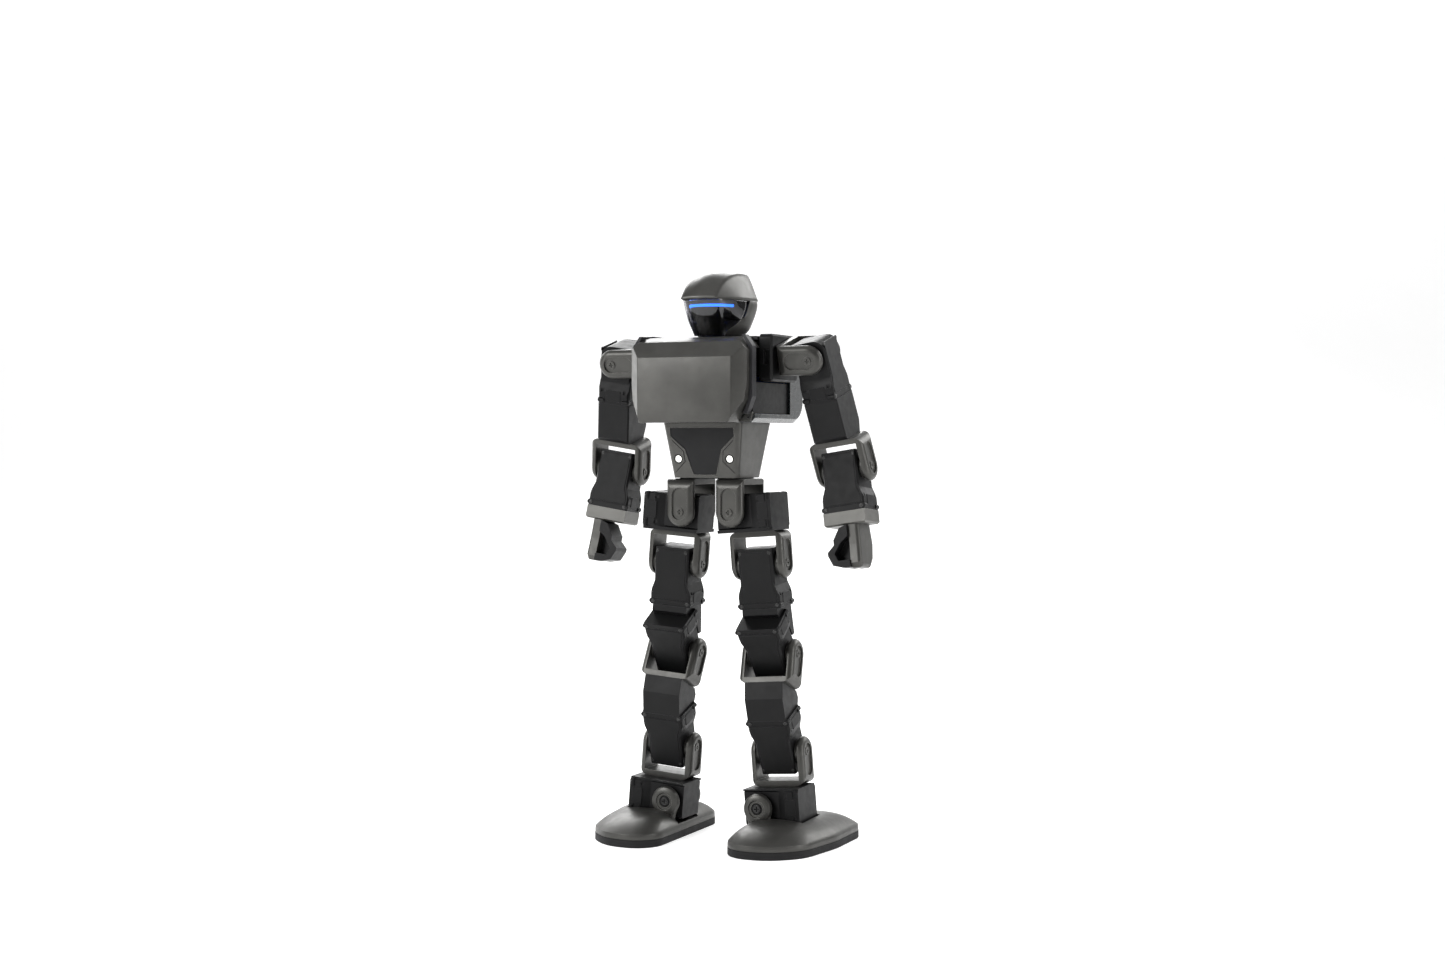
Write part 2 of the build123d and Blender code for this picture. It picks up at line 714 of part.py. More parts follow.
def visor():
    outer = head_form(VISOR_INSET, False)
    inner = head_form(VISOR_INSET + 1.9, False)
    core = head_form(VISOR_INSET + 0.9, False)
    opening = window_volume(-0.1)
    band = light_slot(0.05)
    with BuildPart() as groove:
        add(band.part)
        add(core.part, mode=Mode.SUBTRACT)
    with BuildPart() as glass:
        add(outer.part)
        add(opening.part, mode=Mode.INTERSECT)
        add(inner.part, mode=Mode.SUBTRACT)
        add(groove.part, mode=Mode.SUBTRACT)
    return glass


def visor_light_bar():
    outer = head_form(VISOR_INSET - 0.1, False)
    core = head_form(VISOR_INSET + 0.9, False)
    band = light_slot(0)
    with BuildPart() as bar:
        add(outer.part)
        add(band.part, mode=Mode.INTERSECT)
        add(core.part, mode=Mode.SUBTRACT)
    return bar


def head_base():
    """Neck disc under the helmet with the shaft that the neck servo turns."""
    with BuildPart() as base:
        with BuildSketch(Plane.XY.offset(HEAD_LOW)):
            with Locations((0, SHOULDER_Y)):
                Circle(12 - LINK_GAP)
        extrude(amount=3)
        with BuildSketch(Plane.XY.offset(CHEST_TOP - 4.4)):
            with Locations((0, SHOULDER_Y)):
                Circle(NECK_R)
        extrude(amount=5)
        with BuildSketch(Plane.XY.offset(CHEST_TOP - 12)):
            with Locations((0, SHOULDER_Y)):
                Circle(SHAFT_R)
        extrude(amount=9)
    return base


keep("helmet_shell", helmet_shell())
keep("visor", visor())
keep("visor_light_bar", visor_light_bar())
keep("head_base", head_base())


# ---------------------------------------------------------------- arm

def shoulder_bracket():
    """Arm's first bracket, with the short shaft that enters the shoulder servo."""
    bracket = u_bracket(SHOULDER_BRACKET)
    with BuildPart() as whole:
        add(bracket.part)
        with BuildSketch(Plane.YZ.offset(44.1)):
            with Locations((SHOULDER_Y, SHOULDER_Z)):
                Circle(HORN_R)
        extrude(amount=SHOULDER_X - BASE_REACH - 44.1)
        with BuildSketch(Plane.YZ.offset(44 - BORE_DEPTH + 0.5)):
            with Locations((SHOULDER_Y, SHOULDER_Z)):
                Circle(SHAFT_R)
        extrude(amount=BORE_DEPTH)
    return whole


def upper_arm_servo():
    case = servo(UPPER_ARM_SERVO)
    with BuildPart() as whole:
        add(case.part)
        outer_top = whole.edges().filter_by(Axis(ARM.origin, ARM.y_dir))
        corner = outer_top.sort_by(Axis(ARM.origin, ARM.z_dir + ARM.x_dir))[-1]
        fillet(corner, 7)
    return whole


def upper_arm_link():
    """Box between the upper arm servo and the elbow bracket, cut away at its lower back."""
    top = SHAFT_INSET - SERVO_LONG
    low = BASE_REACH - ELBOW_DROP
    half = SERVO_SPAN / 2 - 0.5
    with BuildPart() as link:
        with BuildSketch(side(ARM)):
            with BuildLine():
                Polyline((-half, top), (half, top), (half, low + 8), (9.0, low), (-10.5, low),
                         (-half, low + 2.5),
                         close=True)
            make_face()
        extrude(amount=10.7, both=True)
        chamfer(link.edges().filter_by(Axis(ARM.origin, ARM.z_dir)), 0.8)
    return link


def wrist_cap():
    """Light cap that closes the long end of the forearm servo, with a corner tongue at the front."""
    top = SHAFT_INSET - SERVO_LONG
    with BuildPart() as cap:
        with BuildSketch(Plane(FOREARM.location * Location((0, 0, -CAP_DROP)))):
            Rectangle(SERVO_SPAN, SERVO_THICK)
        extrude(amount=CAP_DROP + top)
        chamfer(cap.faces().sort_by(Axis(FOREARM.origin, FOREARM.z_dir))[0].edges(), 1.0)
    return cap


def hand_fairing():
    """Curved outer plate of the hand."""
    with BuildPart() as plate:
        with BuildSketch(side(FOREARM).offset(1.5)):
            with BuildLine():
                Polyline((-10.0, -CAP_DROP), (8.5, -CAP_DROP), (10.5, -46), (8.5, -55),
                         (4.0, -HAND_DROP),
                         (-8.0, -HAND_DROP), (-10.8, -57), (-10.0, -46), close=True)
            make_face()
        extrude(amount=6.6)
        outer = plate.faces().sort_by(Axis(FOREARM.origin, FOREARM.x_dir))[-1]
        fillet(outer.edges().sort_by(Axis(FOREARM.origin, FOREARM.z_dir))[:-1], 2.2)
    return plate


def hand_grip():
    """Dark fingers and thumb that close round an open palm."""
    with BuildPart() as grip:
        with BuildSketch(front(FOREARM).offset(-4)):
            with BuildLine():
                Polyline((1.45, -CAP_DROP), (-3.5, -CAP_DROP - 1.5), (-7.8, -42.5), (-7.8, -45.5),
                         (-12.2, -49.5),
                         (-12.2, -51.5), (-9.5, -57.5), (-3.0, -59.5), (1.45, -59.5), close=True)
            make_face()
        extrude(amount=16)
        with BuildSketch(front(FOREARM).offset(5)):
            with BuildLine():
                Polyline((1.45, -41), (-3.5, -44.5), (-8.0, -50.5), (-6.0, -55),
                         (1.45, -55), close=True)
            make_face()
        extrude(amount=8, mode=Mode.SUBTRACT)
    return grip


keep_pair("shoulder_bracket", shoulder_bracket())
keep_pair("upper_arm_servo", upper_arm_servo())
keep_pair("upper_arm_link", upper_arm_link())
keep_pair("elbow_bracket", u_bracket(ELBOW_BRACKET))
keep_pair("forearm_servo", servo(FOREARM))
keep_pair("wrist_cap", wrist_cap())
keep_pair("hand_fairing", hand_fairing())
keep_pair("hand_grip", hand_grip())


# ---------------------------------------------------------------- leg

def knee_link():
    """Wedge that joins the thigh servo to the knee servo."""
    thigh = servo_envelope(THIGH_SERVO)
    knee = servo_envelope(KNEE_SERVO)
    with BuildPart() as link:
        with BuildSketch(side(LEG).offset(LEG_X)):
            with BuildLine():
                Polyline((-8.4, -57.0), (12.2, -56.0), (14.8, -75.5), (6.0, -78.0), (-4.0, -66.0),
                         (-8.6, -62.4),
                         close=True)
            make_face()
        extrude(amount=11.5, both=True)
        add(thigh.part, mode=Mode.SUBTRACT)
        add(knee.part, mode=Mode.SUBTRACT)
    return link


def shin_link():
    """Faceted cap that joins the knee bracket to the shin servo."""
    with BuildPart() as base_side:
        with BuildSketch(front(KNEE_BRACKET)):
            with Locations((0, BASE_REACH / 2)):
                Rectangle(40, BASE_REACH)
        extrude(amount=20, both=True)
    shin = servo_envelope(SHIN_SERVO)
    with BuildPart() as link:
        with BuildSketch(side(LEG).offset(LEG_X)):
            with BuildLine():
                Polyline((-10.0, -101.0), (-12.1, -112.4), (-9.7, -126.0), (9.6, -120.0),
                         (11.4, -114.0),
                         (8.0, -107.0), close=True)
            make_face()
        extrude(amount=12.4, both=True)
        add(base_side.part, mode=Mode.SUBTRACT)
        add(shin.part, mode=Mode.SUBTRACT)
    return link


def foot_outline(grow, shrink=1.0):
    """Plan of the left foot: straight inner side, sweeping outer side; shrunk toward its crown."""
    corners = [(22, 50, 14), (22, -50, 17), (52, -50, 28), (70, -34, 28), (76, 2, 60), (76, 50, 16)]
    places = [(CROWN_X + (x - CROWN_X) * shrink, CROWN_Y + (y - CROWN_Y) * shrink) for x, y,
              radius in corners]
    with BuildSketch(Plane.XY) as outline:
        with BuildLine():
            FilletPolyline(*places, radius=[radius * shrink for x, y, radius in corners], close=True)
        make_face()
        if grow:
            offset(amount=grow)
    return outline


def foot_sole():
    outline = foot_outline(0)
    with BuildPart() as sole:
        extrude(outline.sketch, amount=SOLE_THICK)
        chamfer(sole.faces().sort_by(Axis.Z)[0].edges(), 0.4)
    return sole


def foot_shell():
    """Domed cover of the foot with the two ears that the ankle servo turns in."""
    centre = ANKLE_SERVO.origin
    pins = pivot_pins(ANKLE_SERVO)
    rim = foot_outline(-0.3)
    crown = foot_outline(-0.3, CROWN_SHRINK)
    inner_rim = foot_outline(-0.3 - WALL)
    inner_crown = foot_outline(-0.3 - WALL, CROWN_SHRINK)
    with BuildPart() as pocket:
        with BuildSketch(Plane.XY.offset(POCKET_FLOOR)):
            with Locations((centre.X + 12.3, centre.Y)):
                Rectangle(32.6, EAR_GAP - 2 * LINK_GAP)
        extrude(amount=30)
        with BuildSketch(Plane.XY.offset(POCKET_STEP)):
            with Locations((centre.X - 12, centre.Y)):
                Rectangle(18, EAR_GAP - 2 * LINK_GAP)
        extrude(amount=30)
    with BuildPart() as cavity:
        with BuildSketch(Plane.XY.offset(SOLE_THICK - 1)):
            add(inner_rim.sketch)
        with BuildSketch(Plane.XY.offset(FOOT_RIM)):
            add(inner_rim.sketch)
        loft()
        with BuildSketch(Plane.XY.offset(FOOT_RIM)):
            add(inner_rim.sketch)
        with BuildSketch(Plane.XY.offset(FOOT_TOP - WALL)):
            add(inner_crown.sketch)
        loft()
        with BuildSketch(Plane.XY):
            with Locations((centre.X + 6, centre.Y)):
                Rectangle(52, EAR_GAP + 2 * EAR_THICK)
        extrude(amount=30, mode=Mode.SUBTRACT)
    with BuildPart() as shell:
        with BuildSketch(Plane.XY.offset(SOLE_THICK)):
            add(rim.sketch)
        extrude(amount=FOOT_RIM - SOLE_THICK)
        with BuildSketch(Plane.XY.offset(FOOT_RIM)):
            add(rim.sketch)
        with BuildSketch(Plane.XY.offset(FOOT_TOP)):
            add(crown.sketch)
        loft()
        fillet(shell.edges().filter_by(lambda e: abs(e.center().Z - FOOT_RIM) < 0.01), 2.0)
        add(cavity.part, mode=Mode.SUBTRACT)
        for sign in (1, -1):
            ear = centre.Y + sign * (EAR_OUT - EAR_THICK / 2)
            with BuildSketch(Plane.XZ.offset(-ear)):
                with Locations((centre.X, centre.Z)):
                    Circle(EAR_WIDTH / 2)
                with Locations((centre.X, (centre.Z + SOLE_THICK) / 2)):
                    Rectangle(EAR_WIDTH, centre.Z - SOLE_THICK)
            extrude(amount=EAR_THICK / 2, both=True)
        add(pocket.part, mode=Mode.SUBTRACT)
        with BuildSketch(Plane.XZ.offset(-centre.Y)):
            with Locations((centre.X, centre.Z)):
                Circle(SCREW_BORE_R)
        extrude(amount=EAR_OUT, both=True, mode=Mode.SUBTRACT)
        add(pins.part)
    return shell


with BuildPart() as hip_brackets:
    add(u_bracket(HIP_BRACKET).part)
    mirror(about=Plane.YZ)

keep("hip_brackets", hip_brackets)
keep_pair("hip_servo", servo(HIP_SERVO, -HIP_SHELF))
keep_pair("thigh_bracket", u_bracket(THIGH_BRACKET))
keep_pair("thigh_servo", servo(THIGH_SERVO))
keep_pair("knee_link", knee_link())
keep_pair("knee_servo", servo(KNEE_SERVO))
keep_pair("knee_bracket", u_bracket(KNEE_BRACKET))
keep_pair("shin_link", shin_link())
keep_pair("shin_servo", servo(SHIN_SERVO))
keep_pair("ankle_bracket", u_bracket(ANKLE_BRACKET))
keep_pair("ankle_servo", servo(ANKLE_SERVO, ANKLE_SHELF))
keep_pair("foot_sole", foot_sole())
keep_pair("foot_shell", foot_shell())
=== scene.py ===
import json
from math import cos, pi, radians, sin, tan

import bmesh
import bpy
from mathutils import Matrix, Vector


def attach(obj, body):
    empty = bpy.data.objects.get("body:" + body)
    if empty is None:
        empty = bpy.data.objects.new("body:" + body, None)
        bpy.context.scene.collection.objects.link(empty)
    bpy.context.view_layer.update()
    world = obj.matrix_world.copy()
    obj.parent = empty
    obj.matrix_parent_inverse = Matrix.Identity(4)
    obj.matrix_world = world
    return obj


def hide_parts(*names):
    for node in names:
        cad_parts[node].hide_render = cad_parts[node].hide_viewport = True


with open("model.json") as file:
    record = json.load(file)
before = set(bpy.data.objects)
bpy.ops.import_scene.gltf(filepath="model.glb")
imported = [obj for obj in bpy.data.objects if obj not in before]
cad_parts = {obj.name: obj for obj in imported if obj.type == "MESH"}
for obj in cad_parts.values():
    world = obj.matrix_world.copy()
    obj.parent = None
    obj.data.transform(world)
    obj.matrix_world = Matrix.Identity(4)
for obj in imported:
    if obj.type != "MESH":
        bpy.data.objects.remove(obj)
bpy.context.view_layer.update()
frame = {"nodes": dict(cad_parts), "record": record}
SIDES = ("left", "right")
MM = 0.001
CAD_SPLIT, PIECE_SPLIT, DOME_SPLIT = 28, 32, 40  # degrees between faces that stay sharp


# ---------------------------------------------------------------- node helpers

EDGE_START, EDGE_FULL = 0.97, 0.8  # cosine of the normals' angle where the lighter edges (partly wear, partly a painted highlight) begin and are full
TONE_SCALE, GLOSS_SCALE, WEAR_AND_SHEEN_SCALE = 60, 220, 320  # noise features per metre


def new_material(name, color, roughness, metallic=0.0, coat=0.0, specular=0.5):
    """A material whose uniform numbers sit on the shader's own sockets."""
    material = bpy.data.materials.new(name)
    material.use_nodes = True
    shader = material.node_tree.nodes["Principled BSDF"]
    shader.inputs["Base Color"].default_value = (*color, 1)
    shader.inputs["Roughness"].default_value = roughness
    shader.inputs["Metallic"].default_value = metallic
    shader.inputs["Coat Weight"].default_value = coat
    shader.inputs["Coat Roughness"].default_value = 0.12
    shader.inputs["Specular IOR Level"].default_value = specular
    return material


def node(material, kind, **sockets):
    """Adds a node and fills its inputs by name."""
    made = material.node_tree.nodes.new(kind)
    for socket, value in sockets.items():
        made.inputs[socket.replace("_", " ")].default_value = value
    return made


def link(material, source, target):
    material.node_tree.links.new(source, target)


def place_coordinates(material):
    return node(material, "ShaderNodeTexCoord").outputs["Object"]


def noise(material, scale, detail=3.0, rough=0.55):
    """Noise value, with its scale in features per metre."""
    made = node(material, "ShaderNodeTexNoise", Scale=scale, Detail=detail, Roughness=rough)
    link(material, place_coordinates(material), made.inputs["Vector"])
    return made.outputs["Fac"]


def spread(material, value, low, high):
    """Stretches the middle of a noise value to a range."""
    made = node(material, "ShaderNodeMapRange", From_Min=0.3, From_Max=0.7, To_Min=low, To_Max=high)
    link(material, value, made.inputs["Value"])
    return made.outputs["Result"]


def two_tone(material, factor, dark, light):
    """Base colour that wanders between two tones."""
    mix = material.node_tree.nodes.new("ShaderNodeMix")
    mix.data_type = "RGBA"
    mix.inputs["A"].default_value = (*dark, 1)
    mix.inputs["B"].default_value = (*light, 1)
    link(material, factor, mix.inputs["Factor"])
    return mix.outputs["Result"]


def edge_wear_and_sheen_mask(material, reach):
    """1 along edges: how far a rounded normal leaves the face's own normal."""
    bevel = node(material, "ShaderNodeBevel", Radius=reach)
    bevel.samples = 4
    geometry = node(material, "ShaderNodeNewGeometry")
    dot = node(material, "ShaderNodeVectorMath")
    dot.operation = "DOT_PRODUCT"
    link(material, bevel.outputs["Normal"], dot.inputs[0])
    link(material, geometry.outputs["Normal"], dot.inputs[1])
    made = node(material, "ShaderNodeMapRange", From_Min=EDGE_START, From_Max=EDGE_FULL,
                To_Min=0.0, To_Max=1.0)
    link(material, dot.outputs["Value"], made.inputs["Value"])
    return made.outputs["Result"]


def finish_surface(material, dark, light, rough, grain, grain_depth, edge_wear_and_sheen=None, soft_edge=0.0004):
    """Colour variation, uneven gloss, fine moulded grain, softened edges and optional lighter edges that
    are partly wear and partly a painted highlight.
    """
    shader = material.node_tree.nodes["Principled BSDF"]
    color = two_tone(material, spread(material, noise(material, TONE_SCALE, 4), 0, 1), dark, light)
    # Lightens the edges in patches: partly wear, partly a painted highlight along the edges.
    if edge_wear_and_sheen:
        mask = edge_wear_and_sheen_mask(material, soft_edge)
        patchy = node(material, "ShaderNodeMath")
        patchy.operation = "MULTIPLY"
        link(material, mask, patchy.inputs[0])
        wear_and_sheen_patches = spread(material, noise(material, WEAR_AND_SHEEN_SCALE, 5), 0.35, 1.0)
        link(material, wear_and_sheen_patches, patchy.inputs[1])
        mix = material.node_tree.nodes.new("ShaderNodeMix")
        mix.data_type = "RGBA"
        link(material, patchy.outputs["Value"], mix.inputs["Factor"])
        link(material, color, mix.inputs["A"])
        mix.inputs["B"].default_value = (*edge_wear_and_sheen, 1)
        color = mix.outputs["Result"]
    link(material, color, shader.inputs["Base Color"])
    gloss = spread(material, noise(material, GLOSS_SCALE, 4), *rough)
    link(material, gloss, shader.inputs["Roughness"])
    soft = node(material, "ShaderNodeBevel", Radius=soft_edge)
    soft.samples = 4
    bump = node(material, "ShaderNodeBump", Strength=0.35, Distance=grain_depth)
    link(material, noise(material, grain, 2, 0.6), bump.inputs["Height"])
    link(material, soft.outputs["Normal"], bump.inputs["Normal"])
    link(material, bump.outputs["Normal"], shader.inputs["Normal"])
    return material


# ---------------------------------------------------------------- materials

def gunmetal(name, dark, light, rough, edge_wear_and_sheen):
    """Warm grey metallic paint with fine flakes."""
    material = new_material(name, light, 0.4, metallic=0.62, coat=0.06, specular=0.35)
    return finish_surface(material, dark, light, rough, grain=3200, grain_depth=0.00003, edge_wear_and_sheen=edge_wear_and_sheen)


def black_plastic(name, dark, light, rough, edge_wear_and_sheen):
    """Fine-grained moulded plastic."""
    material = new_material(name, light, 0.5, specular=0.15)
    return finish_surface(material, dark, light, rough, grain=2400, grain_depth=0.00004, edge_wear_and_sheen=edge_wear_and_sheen)


def gloss_plastic(name, dark, light, rough, coat):
    material = new_material(name, light, 0.1, coat=coat, specular=0.55)
    return finish_surface(material, dark, light, rough, grain=900, grain_depth=0.000004)


def tinted_glass(name):
    """Smoked glossy visor that lets the light guide behind it through."""
    material = new_material(name, (0.1, 0.1, 0.13), 0.03, coat=0.15)
    finish_surface(material, (0.085, 0.085, 0.11), (0.11, 0.11, 0.14), (0.02, 0.06),
                   grain=700, grain_depth=0.000002)
    material.node_tree.nodes["Principled BSDF"].inputs["Transmission Weight"].default_value = 1.0
    return material


def glowing(name, color, strength):
    """A diffuser lit from behind, with a faint moulded grain."""
    material = new_material(name, color, 0.3)
    darker = [c * 0.9 for c in color]
    finish_surface(material, darker, color, (0.25, 0.4), grain=1500, grain_depth=0.00001)
    shader = material.node_tree.nodes["Principled BSDF"]
    shader.inputs["Emission Color"].default_value = (*color, 1)
    shader.inputs["Emission Strength"].default_value = strength
    return material


# Each surface: its maker, its slot, and the maker's own numbers. For paint and plastic those are the
# dark tone, the light tone, the range of roughness, and the tone of the lighter edges (partly wear, partly
# a painted highlight) or the coat's weight.
SURFACES = (
    (gunmetal, "shell_gunmetal", (0.050, 0.0492, 0.0458), (0.064, 0.063, 0.0587), (0.38, 0.48),
     (0.17, 0.167, 0.157)),
    (gunmetal, "bracket_gunmetal", (0.046, 0.0453, 0.042), (0.060, 0.059, 0.0545), (0.34, 0.46),
     (0.19, 0.187, 0.174)),
    (black_plastic, "frame_graphite", (0.026, 0.026, 0.028), (0.034, 0.034, 0.036), (0.40, 0.5),
     (0.07, 0.07, 0.075)),
    (black_plastic, "servo_black", (0.0038, 0.0038, 0.0040), (0.0060, 0.0060, 0.0063), (0.40, 0.52),
     (0.035, 0.035, 0.037)),
    (black_plastic, "link_black", (0.0042, 0.0042, 0.0044), (0.0068, 0.0068, 0.0071), (0.34, 0.46),
     (0.045, 0.045, 0.047)),
    (black_plastic, "inlay_matte", (0.010, 0.010, 0.0105), (0.013, 0.013, 0.0135), (0.5, 0.6), None),
    (black_plastic, "sole_rubber", (0.010, 0.010, 0.0105), (0.016, 0.016, 0.0165), (0.55, 0.7), None),
    (gunmetal, "cap_metal", (0.085, 0.084, 0.078), (0.105, 0.1035, 0.097), (0.4, 0.5),
     (0.26, 0.257, 0.24)),
    (gloss_plastic, "back_gloss", (0.004, 0.0062, 0.007), (0.006, 0.009, 0.010), (0.24, 0.32), 0.25),
    (tinted_glass, "visor_gloss"),
    (glowing, "light_blue", (0.006, 0.15, 0.9), 26.0),
    (glowing, "lamp_white", (0.95, 0.95, 0.9), 0.8),
    (gloss_plastic, "battery_wrap", (0.02, 0.06, 0.25), (0.03, 0.09, 0.32), (0.2, 0.35), 0.3),
    (gloss_plastic, "board_green", (0.008, 0.07, 0.03), (0.012, 0.1, 0.045), (0.25, 0.4), 0.2),
    (gloss_plastic, "button_red", (0.25, 0.015, 0.01), (0.35, 0.02, 0.015), (0.2, 0.3), 0.4),
)
MATERIALS = {name: make(name, *looks) for make, name, *looks in SURFACES}
# The last tone lightens the screws' edges: partly wear, partly a painted highlight.
SCREW_STEEL = gunmetal("screw_steel", (0.016, 0.016, 0.016), (0.028, 0.028, 0.0275), (0.28, 0.42),
                       (0.11, 0.11, 0.11))
VISOR_MASK = black_plastic("visor_mask", (0.002, 0.002, 0.002), (0.003, 0.003, 0.003), (0.5, 0.6),
                           None)


SOFTENED = {"chest_front_shell": 2.2, "waist_shell": 0.7}  # width of the bevel, mm


def soften(piece, width):
    """Rounds a CAD shell's planar edges a little more than its model does."""
    weld = piece.modifiers.new("weld", "WELD")
    weld.merge_threshold = 0.00001
    round_off = piece.modifiers.new("round_off", "BEVEL")
    round_off.width = width * MM
    round_off.segments = 4
    round_off.limit_method = "ANGLE"
    round_off.angle_limit = radians(18)
    round_off.use_clamp_overlap = True


def split_edges(piece, degrees):
    """Keeps the edges sharp where faces meet at more than this angle."""
    piece.modifiers.new("edges", "EDGE_SPLIT").split_angle = radians(degrees)


def dress_frame():
    """Gives every carried-over CAD node its slot's material and smooth shading between its edges."""
    for part in frame["record"]["subparts"]:
        piece = frame["nodes"][part["node"]]
        piece.data.materials.clear()
        piece.data.materials.append(MATERIALS[part["material_slot"]])
        if part["node"] in SOFTENED:
            soften(piece, SOFTENED[part["node"]])
        split_edges(piece, CAD_SPLIT)
        piece.data.shade_smooth()


dress_frame()


# ---------------------------------------------------------------- mesh building, in millimetres

def axes(origin, x_axis, z_axis):
    """Matrix of a frame from its origin and two directions."""
    x, z = Vector(x_axis).normalized(), Vector(z_axis).normalized()
    made = Matrix((x, z.cross(x), z)).transposed().to_4x4()
    made.translation = Vector(origin)
    return made


def hinge(home, at, axis, toward):
    """Frame at a point of another frame, X along the axis and Z toward a direction."""
    turn = home.to_3x3()
    return axes(home @ Vector(at), turn @ Vector(axis), turn @ Vector(toward))


def turned(home, about_x=0.0, about_y=0.0):
    return home @ Matrix.Rotation(radians(about_x), 4, "X") @ Matrix.Rotation(radians(about_y), 4, "Y")


def lean(angle, sign=1):
    return (0, -sin(radians(angle)) * sign, cos(radians(angle)) * sign)


def smooth_line(points, steps):
    """Catmull-Rom curve through the points."""
    points = [Vector(p) for p in points]
    ends = [2 * points[0] - points[1], *points, 2 * points[-1] - points[-2]]
    line = []
    for a, b, c, d in zip(ends, ends[1:], ends[2:], ends[3:]):
        for k in range(steps):
            t = k / steps
            line.append(0.5 * (2 * b + (c - a) * t + (2 * a - 5 * b + 4 * c - d) * t * t
                               + (3 * b - a - 3 * c + d) * t ** 3))
    return [*line, points[-1]]


def rounded(corners, steps=6):
    """Closed outline whose corners (x, y, radius) are rounded to arcs."""
    outline = []
    for k, (x, y, radius) in enumerate(corners):
        here = Vector((x, y))
        back = (Vector(corners[k - 1][:2]) - here).normalized()
        ahead = (Vector(corners[(k + 1) % len(corners)][:2]) - here).normalized()
        half = back.angle(ahead) / 2
        reach = radius / tan(half)
        centre = here + (back + ahead).normalized() * (radius / sin(half))
        first = here + back * reach - centre
        sweep = first.angle_signed(here + ahead * reach - centre)
        for step in range(steps + 1):
            angle = -sweep * step / steps
            outline.append(centre + Vector((first.x * cos(angle) - first.y * sin(angle),
                                            first.x * sin(angle) + first.y * cos(angle))))
    return outline


def ring_faces(bm, lower, upper):
    for k, vert in enumerate(lower):
        bm.faces.new((vert, lower[(k + 1) % len(lower)], upper[(k + 1) % len(upper)], upper[k]))


def loft(bm, rings, capped=True):
    """Skins a stack of closed rings of points."""
    made = [[bm.verts.new(p) for p in ring] for ring in rings]
    for lower, upper in zip(made, made[1:]):
        ring_faces(bm, lower, upper)
    if capped:
        bm.faces.new(list(reversed(made[0])))
        bm.faces.new(made[-1])
    return made


def plate(bm, place, outline, low, high, edge=0.15):
    """Flat plate on a frame's XY plane, with a small bevel round its upper edge."""
    middle = sum((Vector(p) for p in outline), Vector((0, 0))) / len(outline)
    rings = []
    for inset, z in ((0, low), (0, high - edge), (edge, high)):
        ring = []
        for p in outline:
            toward = middle - Vector(p)
            x, y = Vector(p) + toward.normalized() * inset
            ring.append(place @ Vector((x, y, z)))
        rings.append(ring)
    loft(bm, rings)


def lathe(bm, place, profile, segments=28, hollow=False):
    """Turns a profile of (radius, height) about the frame's Z. A hollow one closes round a hole."""
    rings = []
    angles = [2 * pi * k / segments for k in range(segments)]
    for radius, z in profile:
        rings.append([place @ Vector((radius * cos(a), radius * sin(a), z)) for a in angles])
    made = loft(bm, rings, capped=not hollow)
    if hollow:
        ring_faces(bm, made[-1], made[0])


def screw(bm, place, radius, stand=0.25):
    """Pan head with a cross recess, standing on the frame's XY plane."""
    count, cross_reach, cross_half = 32, 0.62, 0.13  # the last two as shares of the head's radius
    angles = [2 * pi * k / count for k in range(count)]

    def ring(size, z):
        return [place @ Vector((size * cos(a), size * sin(a), z)) for a in angles]

    def cross(z, share):
        points = []
        for a in angles:
            along, across = max(abs(cos(a)), abs(sin(a))), min(abs(cos(a)), abs(sin(a)))
            size = min(cross_reach * radius / along, cross_half * radius / max(across, 0.01)) * share
            points.append(place @ Vector((size * cos(a), size * sin(a), z)))
        return points

    loft(bm, [ring(radius, -0.4), ring(radius, stand * 0.5), ring(radius * 0.86, stand),
              cross(stand, 1.0), cross(stand - radius * 0.3, 0.8)])


def rectangle(x0, x1, y0, y1, radius=0.6):
    return rounded([(x0, y0, radius), (x1, y0, radius), (x1, y1, radius), (x0, y1, radius)], 3)


def grid(bm, rows):
    """Sheet through rows of points."""
    made = [[bm.verts.new(p) for p in row] for row in rows]
    for low, high in zip(made, made[1:]):
        for k in range(len(low) - 1):
            bm.faces.new((low[k], low[k + 1], high[k + 1], high[k]))
    return made


# ---------------------------------------------------------------- pieces

def add_piece(name, bm, material, body, slot, mirrored=False, split=PIECE_SPLIT):
    """Makes an object of a mesh in millimetres, smooth between its sharp edges, on its body."""
    mesh = bpy.data.meshes.new(name)
    bm.to_mesh(mesh)
    scale = Matrix.Diagonal((-MM if mirrored else MM, MM, MM, 1))
    mesh.transform(scale)
    if mirrored:
        mesh.flip_normals()
    mesh.materials.append(material)
    mesh.shade_smooth()
    piece = bpy.data.objects.new(name, mesh)
    bpy.context.collection.objects.link(piece)
    if split:
        split_edges(piece, split)
    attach(piece, body)
    return piece


def add_pair(name, build, material, body, slot, **options):
    """The left piece and its mirror image, from one mesh built for the left side."""
    pieces = []
    for side_name in SIDES:
        bm = bmesh.new()
        build(bm)
        bmesh.ops.recalc_face_normals(bm, faces=bm.faces)
        pieces.append(add_piece(f"{side_name}_{name}", bm, material, f"{side_name}_{body}", slot,
                                mirrored=side_name == "right", **options))
        bm.free()
    return pieces


def add_single(name, build, material, body, slot, **options):
    bm = bmesh.new()
    build(bm)
    bmesh.ops.recalc_face_normals(bm, faces=bm.faces)
    made = add_piece(name, bm, material, body, slot, **options)
    bm.free()
    return made


# ---------------------------------------------------------------- the robot's frames, left side

